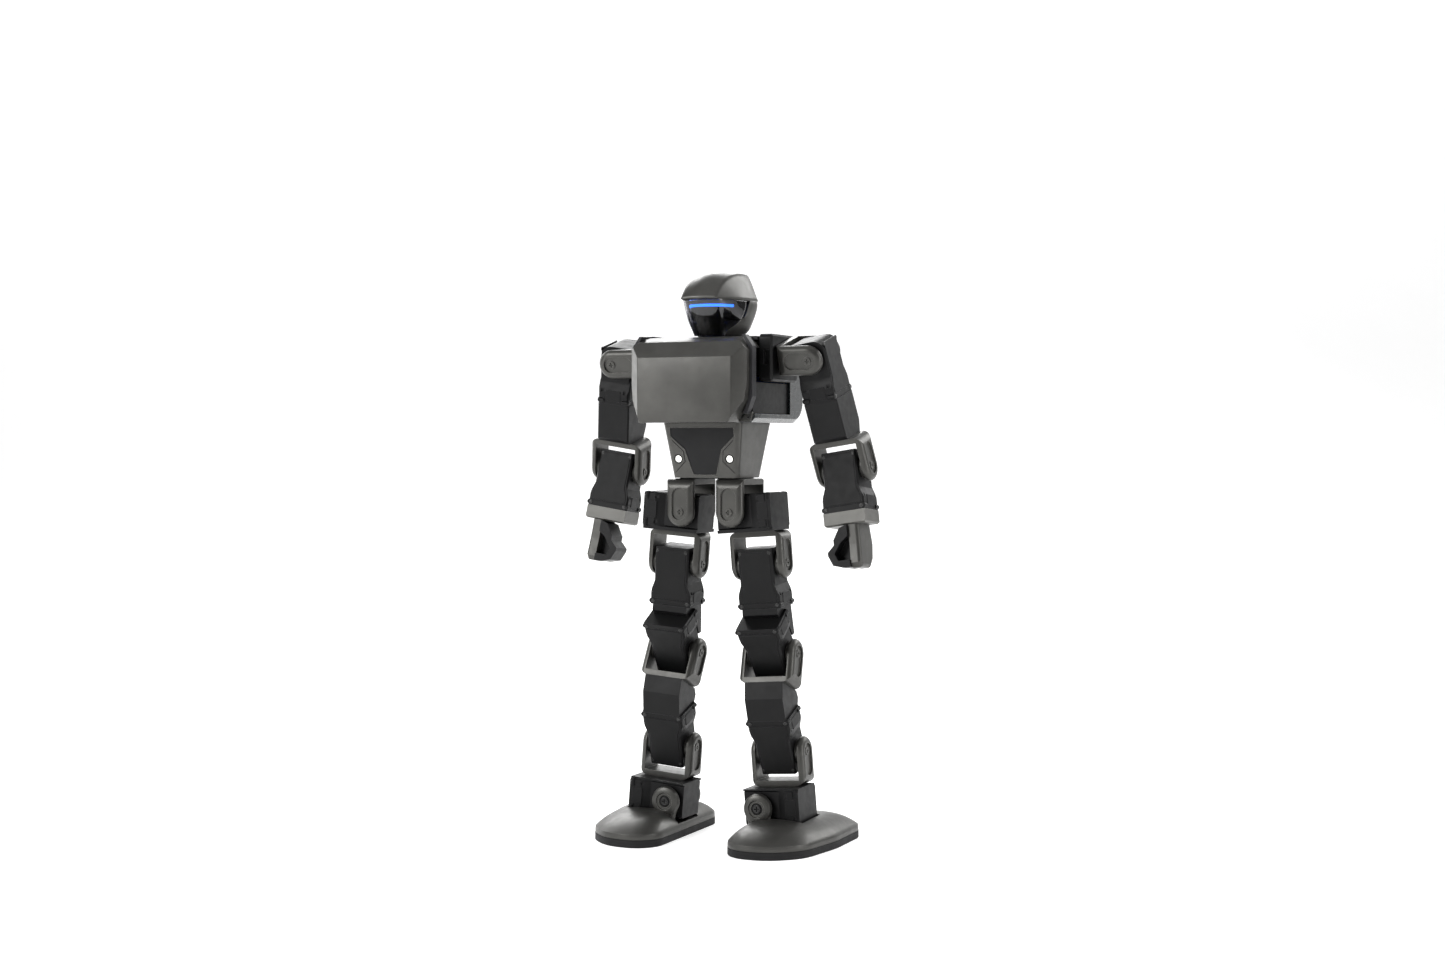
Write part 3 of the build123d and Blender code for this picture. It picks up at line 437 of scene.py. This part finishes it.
ALONG_X, ALONG_Y, UP, MEDIAL = (1, 0, 0), (0, 1, 0), (0, 0, 1), (-1, 0, 0)
LEG = turned(Matrix.Translation((16.2, 0, 199.5)), about_y=-4.43)
HIP_SERVO = hinge(LEG, (0, -6.2, 0), ALONG_Y, MEDIAL)
THIGH_SERVO = hinge(LEG, (9.4, 0.0, -32.2), ALONG_X, lean(4.0))
KNEE_SERVO = hinge(LEG, (9.4, 6.4, -87.2), ALONG_X, lean(32.0, -1))
SHIN_SERVO = hinge(LEG, (9.4, 9.2, -146.2), ALONG_X, lean(21.0, -1))
ANKLE_SERVO = hinge(LEG, (0.9, 2.4, -177.5), ALONG_Y, MEDIAL)
SHOULDER = turned(Matrix.Translation((64.8, -2.6, 292.8)), about_x=15.0)
ARM = turned(SHOULDER, about_y=-9.3)
UPPER_ARM_SERVO = hinge(ARM, (0, 0, 0), ALONG_Y, UP)
FOREARM = turned(hinge(ARM, (0, 0, -71.0), ALONG_X, UP), about_x=-21.0)
SERVOS = {
    "hip": ("hip", HIP_SERVO), "thigh": ("thigh", THIGH_SERVO), "knee": ("thigh", KNEE_SERVO),
    "shin": ("shin", SHIN_SERVO), "ankle": ("ankle", ANKLE_SERVO),
    "upper_arm": ("upper_arm", UPPER_ARM_SERVO), "forearm": ("forearm", FOREARM),
}
THICK_HALF, WIDE_HALF, NECK_HALF = 10.25, 13.5, 11.25  # a servo case's half sizes


# ---------------------------------------------------------------- servo trim

def face_of(servo_frame, sign):
    """Frame on a servo's broad face: X along the shaft, Y toward the short end, Z outward."""
    out = (0, -sign, 0)
    return hinge(servo_frame, (0, -sign * THICK_HALF, 0), (sign, 0, 0), out)


# One half of the lid's outline as corners (x, y, radius), from the shaft end to the long end.
LID_HALF = [(NECK_HALF - 1.6, 8.4, 0.8), (NECK_HALF - 1.6, -11.9, 1.5),
            (WIDE_HALF - 1.8, -18.0, 1.5), (WIDE_HALF - 1.8, -21.9, 0.5)]
CASE_SCREWS = ((-11.6, -24.0), (11.6, -24.0), (-9.3, 7.4), (9.3, 7.4))
SEAT_TOP = 0.22


def servo_panels(servo_frame):
    """Raised lid panels on the broad faces, as the moulded case has."""
    def build(bm):
        for sign in (1, -1):
            outline = rounded([(-x, y, radius) for x, y, radius in LID_HALF] + LID_HALF[::-1], 3)
            plate(bm, face_of(servo_frame, sign), outline, low=-0.3, high=0.28, edge=0.2)
    return build


def servo_lugs(servo_frame):
    """Rounded screw lugs at the long end's corners, and a raised pad on each narrow side."""
    def build(bm):
        for sx in (1, -1):
            for sy in (1, -1):
                place = hinge(servo_frame, (sx * (WIDE_HALF - 0.7), sy * 6.2, -24.0), (1, 0, 0), (0, sy, 0))
                lathe(bm, place, [(1.5, 0), (1.5, 3.9), (1.2, 4.2)], 20)
            place = hinge(servo_frame, (sx * WIDE_HALF, 0, -20.6), (0, 1, 0), (sx, 0, 0))
            plate(bm, place, rectangle(-5.0, 5.0, -3.4, 3.4, 0.5), low=-0.2, high=0.25, edge=0.15)
    return build


def servo_screws(servo_frame):
    """Case screws on the broad faces' corners, each on a low round seat."""
    def build(bm):
        for sign in (1, -1):
            place = face_of(servo_frame, sign)
            for x, y in CASE_SCREWS:
                seat = [(1.2, -0.2), (1.2, SEAT_TOP), (1.0, SEAT_TOP + 0.04)]
                lathe(bm, place @ Matrix.Translation((x, y, 0)), seat, 20)
                screw(bm, place @ Matrix.Translation((x, y, SEAT_TOP)), 0.8, 0.16)
    return build


for servo_name, (servo_body, servo_frame) in SERVOS.items():
    for trim, build, material in (("lid", servo_panels, MATERIALS["servo_black"]),
                                  ("lugs", servo_lugs, MATERIALS["servo_black"]),
                                  ("screws", servo_screws, SCREW_STEEL)):
        add_pair(f"{servo_name}_servo_{trim}", build(servo_frame), material, servo_body, "servo_black")


# ---------------------------------------------------------------- feet

FOOT_CORNERS = [(22, 50, 14), (22, -50, 17), (52, -50, 28), (70, -34, 28), (76, 2, 60), (76, 50, 16)]
CROWN = Vector((43, 4))
SOLE_TOP, RIM_Z, DOME_Z = 4.52, 8.0, 17.3
RIM_SIZE, FULLNESS, DOME_STEPS = 0.993, 3.8, 20
EAR_IN, EAR_OUT, EAR_R, EAR_SCREW_Y = 13.8, 17.5, 9.0, 16.3
ANKLE_POINT = ANKLE_SERVO.translation


def foot_dome(bm):
    """Smooth full dome over a short upright rim, closed below."""
    outline = rounded(FOOT_CORNERS, 10)
    levels = [(RIM_SIZE, SOLE_TOP), (0.998, SOLE_TOP + 0.5), (0.998, SOLE_TOP + 2.0), (RIM_SIZE, RIM_Z)]
    for k in range(1, DOME_STEPS):
        size = 1 - k / DOME_STEPS
        levels.append((RIM_SIZE * size, RIM_Z + (DOME_Z - RIM_Z) * (1 - size ** FULLNESS)))
    rings = [[(*(CROWN + (p - CROWN) * size), z) for p in outline] for size, z in levels]
    loft(bm, rings)


def foot_pocket(bm):
    """Room for the ankle servo, stepped up toward the foot's inner edge."""
    y0, y1 = ANKLE_POINT.y - EAR_IN + 0.02, ANKLE_POINT.y + EAR_IN - 0.02
    for x0, x1, floor in ((ANKLE_POINT.x - 4, ANKLE_POINT.x + 28.6, 5.4), (5.0, ANKLE_POINT.x - 3.9, 9.0)):
        corners = [(x0, y0), (x1, y0), (x1, y1), (x0, y1)]
        loft(bm, [[(*p, z) for p in corners] for z in (floor, 40.0)])


def cut_away(piece, tool):
    """Cuts one mesh out of another and drops the tool."""
    modifier = piece.modifiers.new("cut", "BOOLEAN")
    modifier.object = tool
    modifier.solver = "EXACT"
    modifier.use_self = True
    bpy.context.view_layer.update()
    cut = bpy.data.meshes.new_from_object(piece.evaluated_get(bpy.context.evaluated_depsgraph_get()))
    piece.modifiers.remove(modifier)
    piece.data = cut
    bpy.data.objects.remove(tool)


def foot_ears(bm):
    """Round bosses that hold the ankle servo, each on a short tab that runs into the dome."""
    for sign in (1, -1):
        place = axes(ANKLE_POINT, (1, 0, 0), (0, sign, 0))
        profile = [(3.6, EAR_IN), (EAR_R, EAR_IN), (EAR_R, EAR_OUT - 2.2), (EAR_R - 0.6, EAR_OUT - 0.8),
                   (EAR_R - 2.0, EAR_OUT - 0.1), (5.4, EAR_OUT), (4.9, EAR_OUT - 0.9),
                   (3.6, EAR_OUT - 0.9)]
        lathe(bm, place, profile, 48, hollow=True)
        tab = rounded([(-8.2, sign * 3.0, 0.3), (8.2, sign * 3.0, 0.3), (7.6, sign * 12.5, 0.3),
                       (-5.0, sign * 12.5, 0.3)], 2)
        plate(bm, place, tab, low=EAR_IN, high=EAR_OUT - 1.6, edge=0.9)


def foot_horns(bm):
    """Servo horns between the ears and the servo."""
    for sign in (1, -1):
        place = axes(ANKLE_POINT, (1, 0, 0), (0, sign, 0))
        lathe(bm, place, [(3.0, 6.6), (3.0, 11.37), (7.5, 11.4), (7.5, 13.75), (3.4, 13.8),
                          (3.4, EAR_SCREW_Y)], 32)


def foot_screws(bm):
    for sign in (1, -1):
        seat = ANKLE_POINT + Vector((0, sign * EAR_SCREW_Y, 0))
        screw(bm, axes(seat, (1, 0, 0), (0, sign, 0)), 2.7, 0.7)


domes = add_pair("foot_dome", foot_dome, MATERIALS["shell_gunmetal"], "foot", "shell_gunmetal", split=0)
pockets = add_pair("pocket_tool", foot_pocket, MATERIALS["shell_gunmetal"], "foot", "shell_gunmetal",
                   split=0)
for side_name, dome, pocket in zip(SIDES, domes, pockets):
    cut_away(dome, pocket)
    split_edges(dome, DOME_SPLIT)
    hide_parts(f"{side_name}_foot_shell")
for side_name, ears in zip(SIDES, add_pair("foot_ears", foot_ears, MATERIALS["bracket_gunmetal"], "foot",
                                           "bracket_gunmetal")):
    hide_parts(f"{side_name}_foot_shell")
add_pair("foot_horns", foot_horns, MATERIALS["link_black"], "foot", "link_black")
add_pair("foot_screws", foot_screws, SCREW_STEEL, "foot", "bracket_gunmetal")


# ---------------------------------------------------------------- head

LIT_Z, HALF_HEAD = 323.0, 20


def helmet_cap(bm):
    """Forehead, crown and upper sides: a creased top panel between two side facets."""
    rim = [(11.3, -30.5, 326.6), (13.6, -24.5, 326.6), (16.5, -16.5, 326.6), (19.0, -8.5, 326.6),
           (19.9, 0, 326.6), (20.0, 7.0, 326.8), (19.7, 13.0, 327.0), (16.6, 17.4, 327.2),
           (12.2, 20.0, 327.4)]
    crease = [(11.3, -30.5, 326.65), (11.6, -25.2, 333.4), (12.2, -17.0, 338.7), (12.7, -9.0, 341.4),
              (13.1, -1.0, 342.9), (13.2, 7.0, 343.4), (13.0, 14.3, 343.0), (12.7, 18.8, 336.5),
              (12.2, 20.3, 328.2)]
    ridge = [(0, -31.0, 326.6), (0, -28.0, 333.9), (0, -22.3, 339.6), (0, -14.0, 343.2), (0, -4.0, 344.8),
             (0, 5.0, 345.0), (0, 14.4, 343.8), (0, 19.9, 336.6), (0, 21.0, 328.0)]
    rows = []
    for r, c, t in zip(rim, crease, ridge):
        r, c, t = Vector(r), Vector(c), Vector(t)
        low = r.lerp(c, 0.5) + Vector((0.35, 0, 0))
        high = c.lerp(t, 0.5) + Vector((0, 0, 0.25))
        half = [r, low, c, high]
        rows.append([*half, t, *[Vector((-p.x, p.y, p.z)) for p in reversed(half)]])  # 9 points
    made = grid(bm, rows)
    creases = bm.edges.layers.float.new("crease_edge")
    for low, high in zip(made, made[1:]):
        for k in (2, 6):
            bm.edges.get((low[k], high[k]))[creases] = 0.9
        for k in (0, 8):
            bm.edges.get((low[k], high[k]))[creases] = 1.0
    for row in (made[0], made[-1]):
        for a, b in zip(row, row[1:]):
            bm.edges.get((a, b))[creases] = 1.0


def helmet_jaw(bm):
    """Sides, back and the two cheek plates, as half rows from the visor round to the back."""
    rows = [
        (329.0, [(18.2, 0.9), (18.5, 4), (18.7, 7.5), (18.4, 12.0), (11.2, 18.4), (0, 19.0)]),
        (326.2, [(19.8, 0.3), (20.6, 4), (20.7, 7.5), (20.4, 13.2), (12.7, 20.3), (0, 21.0)]),
        (321.0, [(19.2, -1.7), (19.9, 2.5), (20.2, 6.8), (19.8, 12.3), (12.4, 19.3), (0, 20.0)]),
        (315.7, [(18.2, -4.2), (18.7, 0.5), (18.9, 5.5), (18.5, 11), (11.5, 17.8), (0, 18.4)]),
        (313.4, [(9.4, -14.3), (14.8, -9.2), (18.1, 2.5), (17.9, 10), (11.2, 17.0), (0, 17.6)]),
        (308.5, [(9.4, -13.8), (13.8, -8.6), (16.9, 1), (16.8, 8), (10.8, 15.8), (0, 16.3)]),
        (305.1, [(8.7, -12.6), (11.0, -8), (12.2, -1), (11.4, 6), (8.5, 11.5), (0, 12)]),
    ]
    full = []
    for z, half in rows:
        full.append([Vector((x, y, z)) for x, y in half]
                    + [Vector((-x, y, z)) for x, y in reversed(half[:-1])])
    made = grid(bm, full)
    creases = bm.edges.layers.float.new("crease_edge")
    cheek = made[4]
    for k in (0, 9):
        bm.edges.get((cheek[k], cheek[k + 1]))[creases] = 0.8
    for low, high in zip(made, made[1:]):
        for k in (1, 9):
            bm.edges.get((low[k], high[k]))[creases] = 0.7


# Half rows of the visor at each height, from the middle of the face to its side.
VISOR_ROWS = [
    (326.5, [(0, -28.4), (6.0, -28.0), (10.9, -26.2), (14.4, -19.5), (17.0, -11.5), (18.6, -3.4)]),
    (320.0, [(0, -25.8), (5.8, -25.4), (10.4, -23.6), (14.0, -17.5), (16.6, -10.5), (18.1, -4.6)]),
    (314.0, [(0, -23.2), (5.5, -22.8), (9.8, -21.0), (12.8, -16.4), (14.8, -11.5), (16.0, -8.0)]),
    (308.5, [(0, -20.7), (5.2, -20.4), (8.6, -19.0), (9.6, -16.4), (10.0, -14.4), (10.3, -12.6)]),
    (305.3, [(0, -19.2), (4.9, -18.9), (7.8, -17.6), (8.8, -15.6), (9.2, -14.0), (9.4, -12.6)]),
]


def visor_row(half, z, inset):
    """A whole row of the visor, set back by the inset."""
    line = smooth_line(half, 4)
    line = [Vector((p.x * (1 - inset / HALF_HEAD), p.y + inset)) for p in line]
    left = [Vector((-p.x, p.y, z)) for p in reversed(line[1:])]
    return [*left, *[Vector((p.x, p.y, z)) for p in line]]


def visor_sheet(inset):
    """Wrap-round visor that tapers to the chin."""
    def build(bm):
        columns = [visor_row(half, z, inset) for z, half in VISOR_ROWS]
        rows = [smooth_line(line, 4) for line in zip(*columns)]
        grid(bm, rows)
    return build


def light_bar(bm):
    """Light guide behind the glass: a bent strip with rounded edges."""
    half_depth, half_height, sides = 0.5, 0.8, 12
    line = smooth_line([(-14.2, -12.0), (-9.6, -20.3), (0, -23.8), (9.6, -20.3), (14.2, -12.0)], 8)
    rings = []
    for k, p in enumerate(line):
        ahead = line[min(k + 1, len(line) - 1)] - line[max(k - 1, 0)]
        out = Vector((ahead.y, -ahead.x)).normalized()
        ring = []
        for a in range(sides):
            angle = 2 * pi * a / sides
            place = p + out * half_depth * cos(angle)
            ring.append((place.x, place.y, LIT_Z + half_height * sin(angle)))
        rings.append(ring)
    loft(bm, rings)


def brow_lip(bm):
    """Thin lip that trims the brow's lower edge, over the glass."""
    line = smooth_line(VISOR_ROWS[0][1], 4)
    half = [Vector((p.x * 1.012, p.y - 0.35)) for p in line]
    path = [Vector((-p.x, p.y)) for p in reversed(half[1:])] + half
    section = ((0.35, 325.9), (0.35, 326.7), (-0.9, 326.7), (-0.9, 325.9))
    rings = []
    for k, p in enumerate(path):
        ahead = path[min(k + 1, len(path) - 1)] - path[max(k - 1, 0)]
        out = Vector((ahead.y, -ahead.x)).normalized()
        rings.append([(*(p + out * d), z) for d, z in section])
    loft(bm, rings)


def thicken(piece, thickness, levels=2):
    """Gives a sheet its wall and smooths it."""
    wall = piece.modifiers.new("wall", "SOLIDIFY")
    wall.thickness = thickness * MM
    wall.offset = -1
    wall.edge_crease_rim = wall.edge_crease_outer = wall.edge_crease_inner = 0.7
    smooth = piece.modifiers.new("smooth", "SUBSURF")
    smooth.levels = levels
    smooth.render_levels = levels
    return piece


cap = thicken(add_single("helmet_cap", helmet_cap, MATERIALS["shell_gunmetal"], "head", "shell_gunmetal",
                         split=0), 1.6)
jaw = thicken(add_single("helmet_jaw", helmet_jaw, MATERIALS["shell_gunmetal"], "head", "shell_gunmetal",
                         split=0), 1.5)
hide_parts("helmet_shell")
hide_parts("helmet_shell")
glass = thicken(add_single("visor_glass", visor_sheet(0.0), MATERIALS["visor_gloss"], "head", "visor_gloss",
                           split=0), 0.7, levels=1)
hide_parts("visor")
thicken(add_single("visor_backing", visor_sheet(5.5), VISOR_MASK, "head", "visor_gloss", split=0),
        0.5, levels=1)
bar = add_single("light_guide", light_bar, MATERIALS["light_blue"], "head", "light_blue")
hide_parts("visor_light_bar")
add_single("brow_lip", brow_lip, MATERIALS["bracket_gunmetal"], "head", "bracket_gunmetal")


# ---------------------------------------------------------------- waist and chest trim

WAIST_LOW, WAIST_HIGH = Vector((0, -20.8, 220.0)), Vector((0, -26.7, 253.0))
WAIST_UP = (WAIST_HIGH - WAIST_LOW).normalized()
WAIST_STRETCH = (WAIST_HIGH - WAIST_LOW).length / (WAIST_HIGH.z - WAIST_LOW.z)
WAIST_FRONT = axes(WAIST_LOW, (1, 0, 0), Vector((1, 0, 0)).cross(WAIST_UP))  # leans in toward the pelvis


def on_waist(x, z):
    """Point on the waist's front face, from its height over the floor."""
    return x, (z - WAIST_LOW.z) * WAIST_STRETCH


def ribbon(bm, place, path, width, low, high):
    """Raised line along a path on a plane."""
    for a, b in zip(path, path[1:]):
        a, b = Vector(a), Vector(b)
        along = (b - a).normalized()
        side_step = Vector((-along.y, along.x)) * width / 2
        a, b = a - along * width / 2, b + along * width / 2
        plate(bm, place, [a - side_step, b - side_step, b + side_step, a + side_step], low, high, 0.08)


def inlay_rim(bm):
    """Fine raised rim round the shield inlay."""
    half = [(0, 250.2), (21.2, 250.2), (21.2, 245.0), (12.3, 237.0), (7.6, 221.8), (0, 221.8)]
    for sign in (1, -1):
        ribbon(bm, WAIST_FRONT, [on_waist(sign * x, z) for x, z in half],
               width=0.5, low=-0.25, high=0.14)


CHEVRON = [(19.9, 242.2), (13.1, 236.0), (12.5, 229.9), (19.4, 223.2)]
LAMP = (16.9, 231.4)


def lamp_chevrons(bm):
    """Dark lines that point at the inlay beside each lamp, and the dark cup round the lamp."""
    for sign in (1, -1):
        ribbon(bm, WAIST_FRONT, [on_waist(sign * x, z) for x, z in CHEVRON],
               width=0.45, low=-0.25, high=0.06)
        cup = WAIST_FRONT @ Matrix.Translation((*on_waist(sign * LAMP[0], LAMP[1]), 0))
        lathe(bm, cup, [(2.1, -0.3), (2.8, -0.3), (2.8, 0.08), (2.1, 0.02)], 32, hollow=True)


def chevron_edges(bm):
    """Light edge that catches along each dark line."""
    for sign in (1, -1):
        ribbon(bm, WAIST_FRONT, [on_waist(sign * (x + 0.5), z) for x, z in CHEVRON],
               width=0.22, low=-0.25, high=0.12)


def chest_corners(bm):
    """Small brackets at the front shell's lower corners."""
    corner = rounded([(-5.2, -2.6, 0.6), (3.4, -2.6, 1.2), (4.6, 3.2, 1.0), (1.6, 3.4, 0.8)], 3)
    for sign in (1, -1):
        place = axes((sign * 33.2, -34.2, 256.0), (sign, 0, 0), (0, -1, 0))
        plate(bm, place, corner, low=-0.5, high=1.2, edge=0.3)


def chest_corner_screws(bm):
    for sign in (1, -1):
        screw(bm, axes((sign * 35.0, -35.4, 256.2), (1, 0, 0), (0, -1, 0)), 1.1, 0.3)


def trunk_lining(bm):
    """Thin inner walls that stop most of the light through the trunk beside the shoulder servos."""
    for sign in (1, -1):
        place = axes((sign * 20.0, -14.0, 286.0), (0, 1, 0), (sign, 0, 0))
        plate(bm, place, rectangle(-12.0, 12.0, -14.0, 14.0, 1.0), low=-0.4, high=0.4, edge=0.1)


add_single("trunk_lining", trunk_lining, MATERIALS["frame_graphite"], "torso", "frame_graphite")
add_single("inlay_rim", inlay_rim, MATERIALS["bracket_gunmetal"], "torso", "bracket_gunmetal")
add_single("lamp_chevrons", lamp_chevrons, MATERIALS["inlay_matte"], "torso", "inlay_matte")
add_single("chevron_edges", chevron_edges, MATERIALS["bracket_gunmetal"], "torso", "bracket_gunmetal")
add_single("chest_corners", chest_corners, MATERIALS["bracket_gunmetal"], "torso", "bracket_gunmetal")
add_single("chest_corner_screws", chest_corner_screws, SCREW_STEEL, "torso", "bracket_gunmetal")


# ---------------------------------------------------------------- studio

def studio_white():
    """Pale paper that glows a little, so the sweep stays white without a strong light from above."""
    material = new_material("studio_white", (0.88, 0.88, 0.88), 0.85, specular=0.2)
    shader = material.node_tree.nodes["Principled BSDF"]
    shader.inputs["Emission Color"].default_value = (1, 1, 1, 1)
    shader.inputs["Emission Strength"].default_value = 0.5
    return material


def add_floor():
    """Pale sweep: a floor that curves up into the backdrop far behind the robot."""
    near, bend, radius, top, half_width = -4.0, 2.2, 1.2, 6.0, 6.0
    mesh = bpy.data.meshes.new("studio_sweep")
    bm = bmesh.new()
    profile = [(near, 0.0), (bend, 0.0)]
    profile += [(bend + radius * sin(a), radius - radius * cos(a)) for a in map(radians, range(8, 91, 8))]
    profile += [(bend + radius, top)]
    rows = [[bm.verts.new((x, y, z)) for x in (-half_width, half_width)] for y, z in profile]
    for low, high in zip(rows, rows[1:]):
        bm.faces.new((low[0], low[1], high[1], high[0]))
    bm.to_mesh(mesh)
    bm.free()
    sweep = bpy.data.objects.new("studio_sweep", mesh)
    bpy.context.collection.objects.link(sweep)
    sweep.rotation_euler.z = radians(25)
    mesh.shade_smooth()
    mesh.materials.append(studio_white())


LIGHT_TARGET_Z = 0.19
LIGHTS = (  # name, azimuth and elevation in degrees, distance, width and height in metres, watts
    ("overhead", 0, 80, 1.5, 1.6, 1.6, 6),
    ("key", -35, 22, 1.4, 0.55, 0.7, 15),
    ("rim_left", 88, 12, 1.3, 0.3, 1.1, 9),
    ("rim_right", -105, 15, 1.3, 0.3, 1.1, 6),
    ("backdrop_wash_a", 150, 30, 2.6, 1.5, 1.0, 30),
    ("backdrop_wash_b", 215, 30, 2.6, 1.5, 1.0, 30),
)


def add_area(name, azimuth, elevation, distance, width, height, watts):
    """Soft box on a sphere round the robot's middle. Azimuth 0 is in front (-Y), 90 its left (+X)."""
    target = Vector((0, 0, LIGHT_TARGET_Z))
    a, e = radians(azimuth), radians(elevation)
    place = target + distance * Vector((sin(a) * cos(e), -cos(a) * cos(e), sin(e)))
    data = bpy.data.lights.new(name, "AREA")
    data.shape = "RECTANGLE"
    data.size, data.size_y = width, height
    data.energy = watts
    lamp = bpy.data.objects.new(name, data)
    bpy.context.collection.objects.link(lamp)
    lamp.location = place
    lamp.rotation_euler = (target - place).to_track_quat("-Z", "Y").to_euler()


def add_camera():
    """Standard lens at waist height, 25 degrees to the robot's left of straight ahead."""
    bearing, reach, height = radians(25.29), 1.1957, 0.2405
    downward, heading = 1.1, 25.22
    data = bpy.data.cameras.new("camera")
    data.sensor_width = 36.0
    data.lens = 49.06
    camera = bpy.data.objects.new("camera", data)
    bpy.context.collection.objects.link(camera)
    camera.location = (reach * sin(bearing), -reach * cos(bearing), height)
    camera.rotation_euler = (radians(90 - downward), 0, radians(heading))
    bpy.context.scene.camera = camera


def add_world():
    """Even fill light, and a view transform that keeps blacks deep and the sweep white."""
    bpy.context.scene.view_settings.view_transform = "Standard"
    world = bpy.data.worlds.new("studio")
    bpy.context.scene.world = world
    world.use_nodes = True
    background = world.node_tree.nodes["Background"]
    background.inputs["Color"].default_value = (1, 1, 1, 1)
    background.inputs["Strength"].default_value = 0.22


add_floor()
add_world()
add_camera()
for light in LIGHTS:
    add_area(*light)
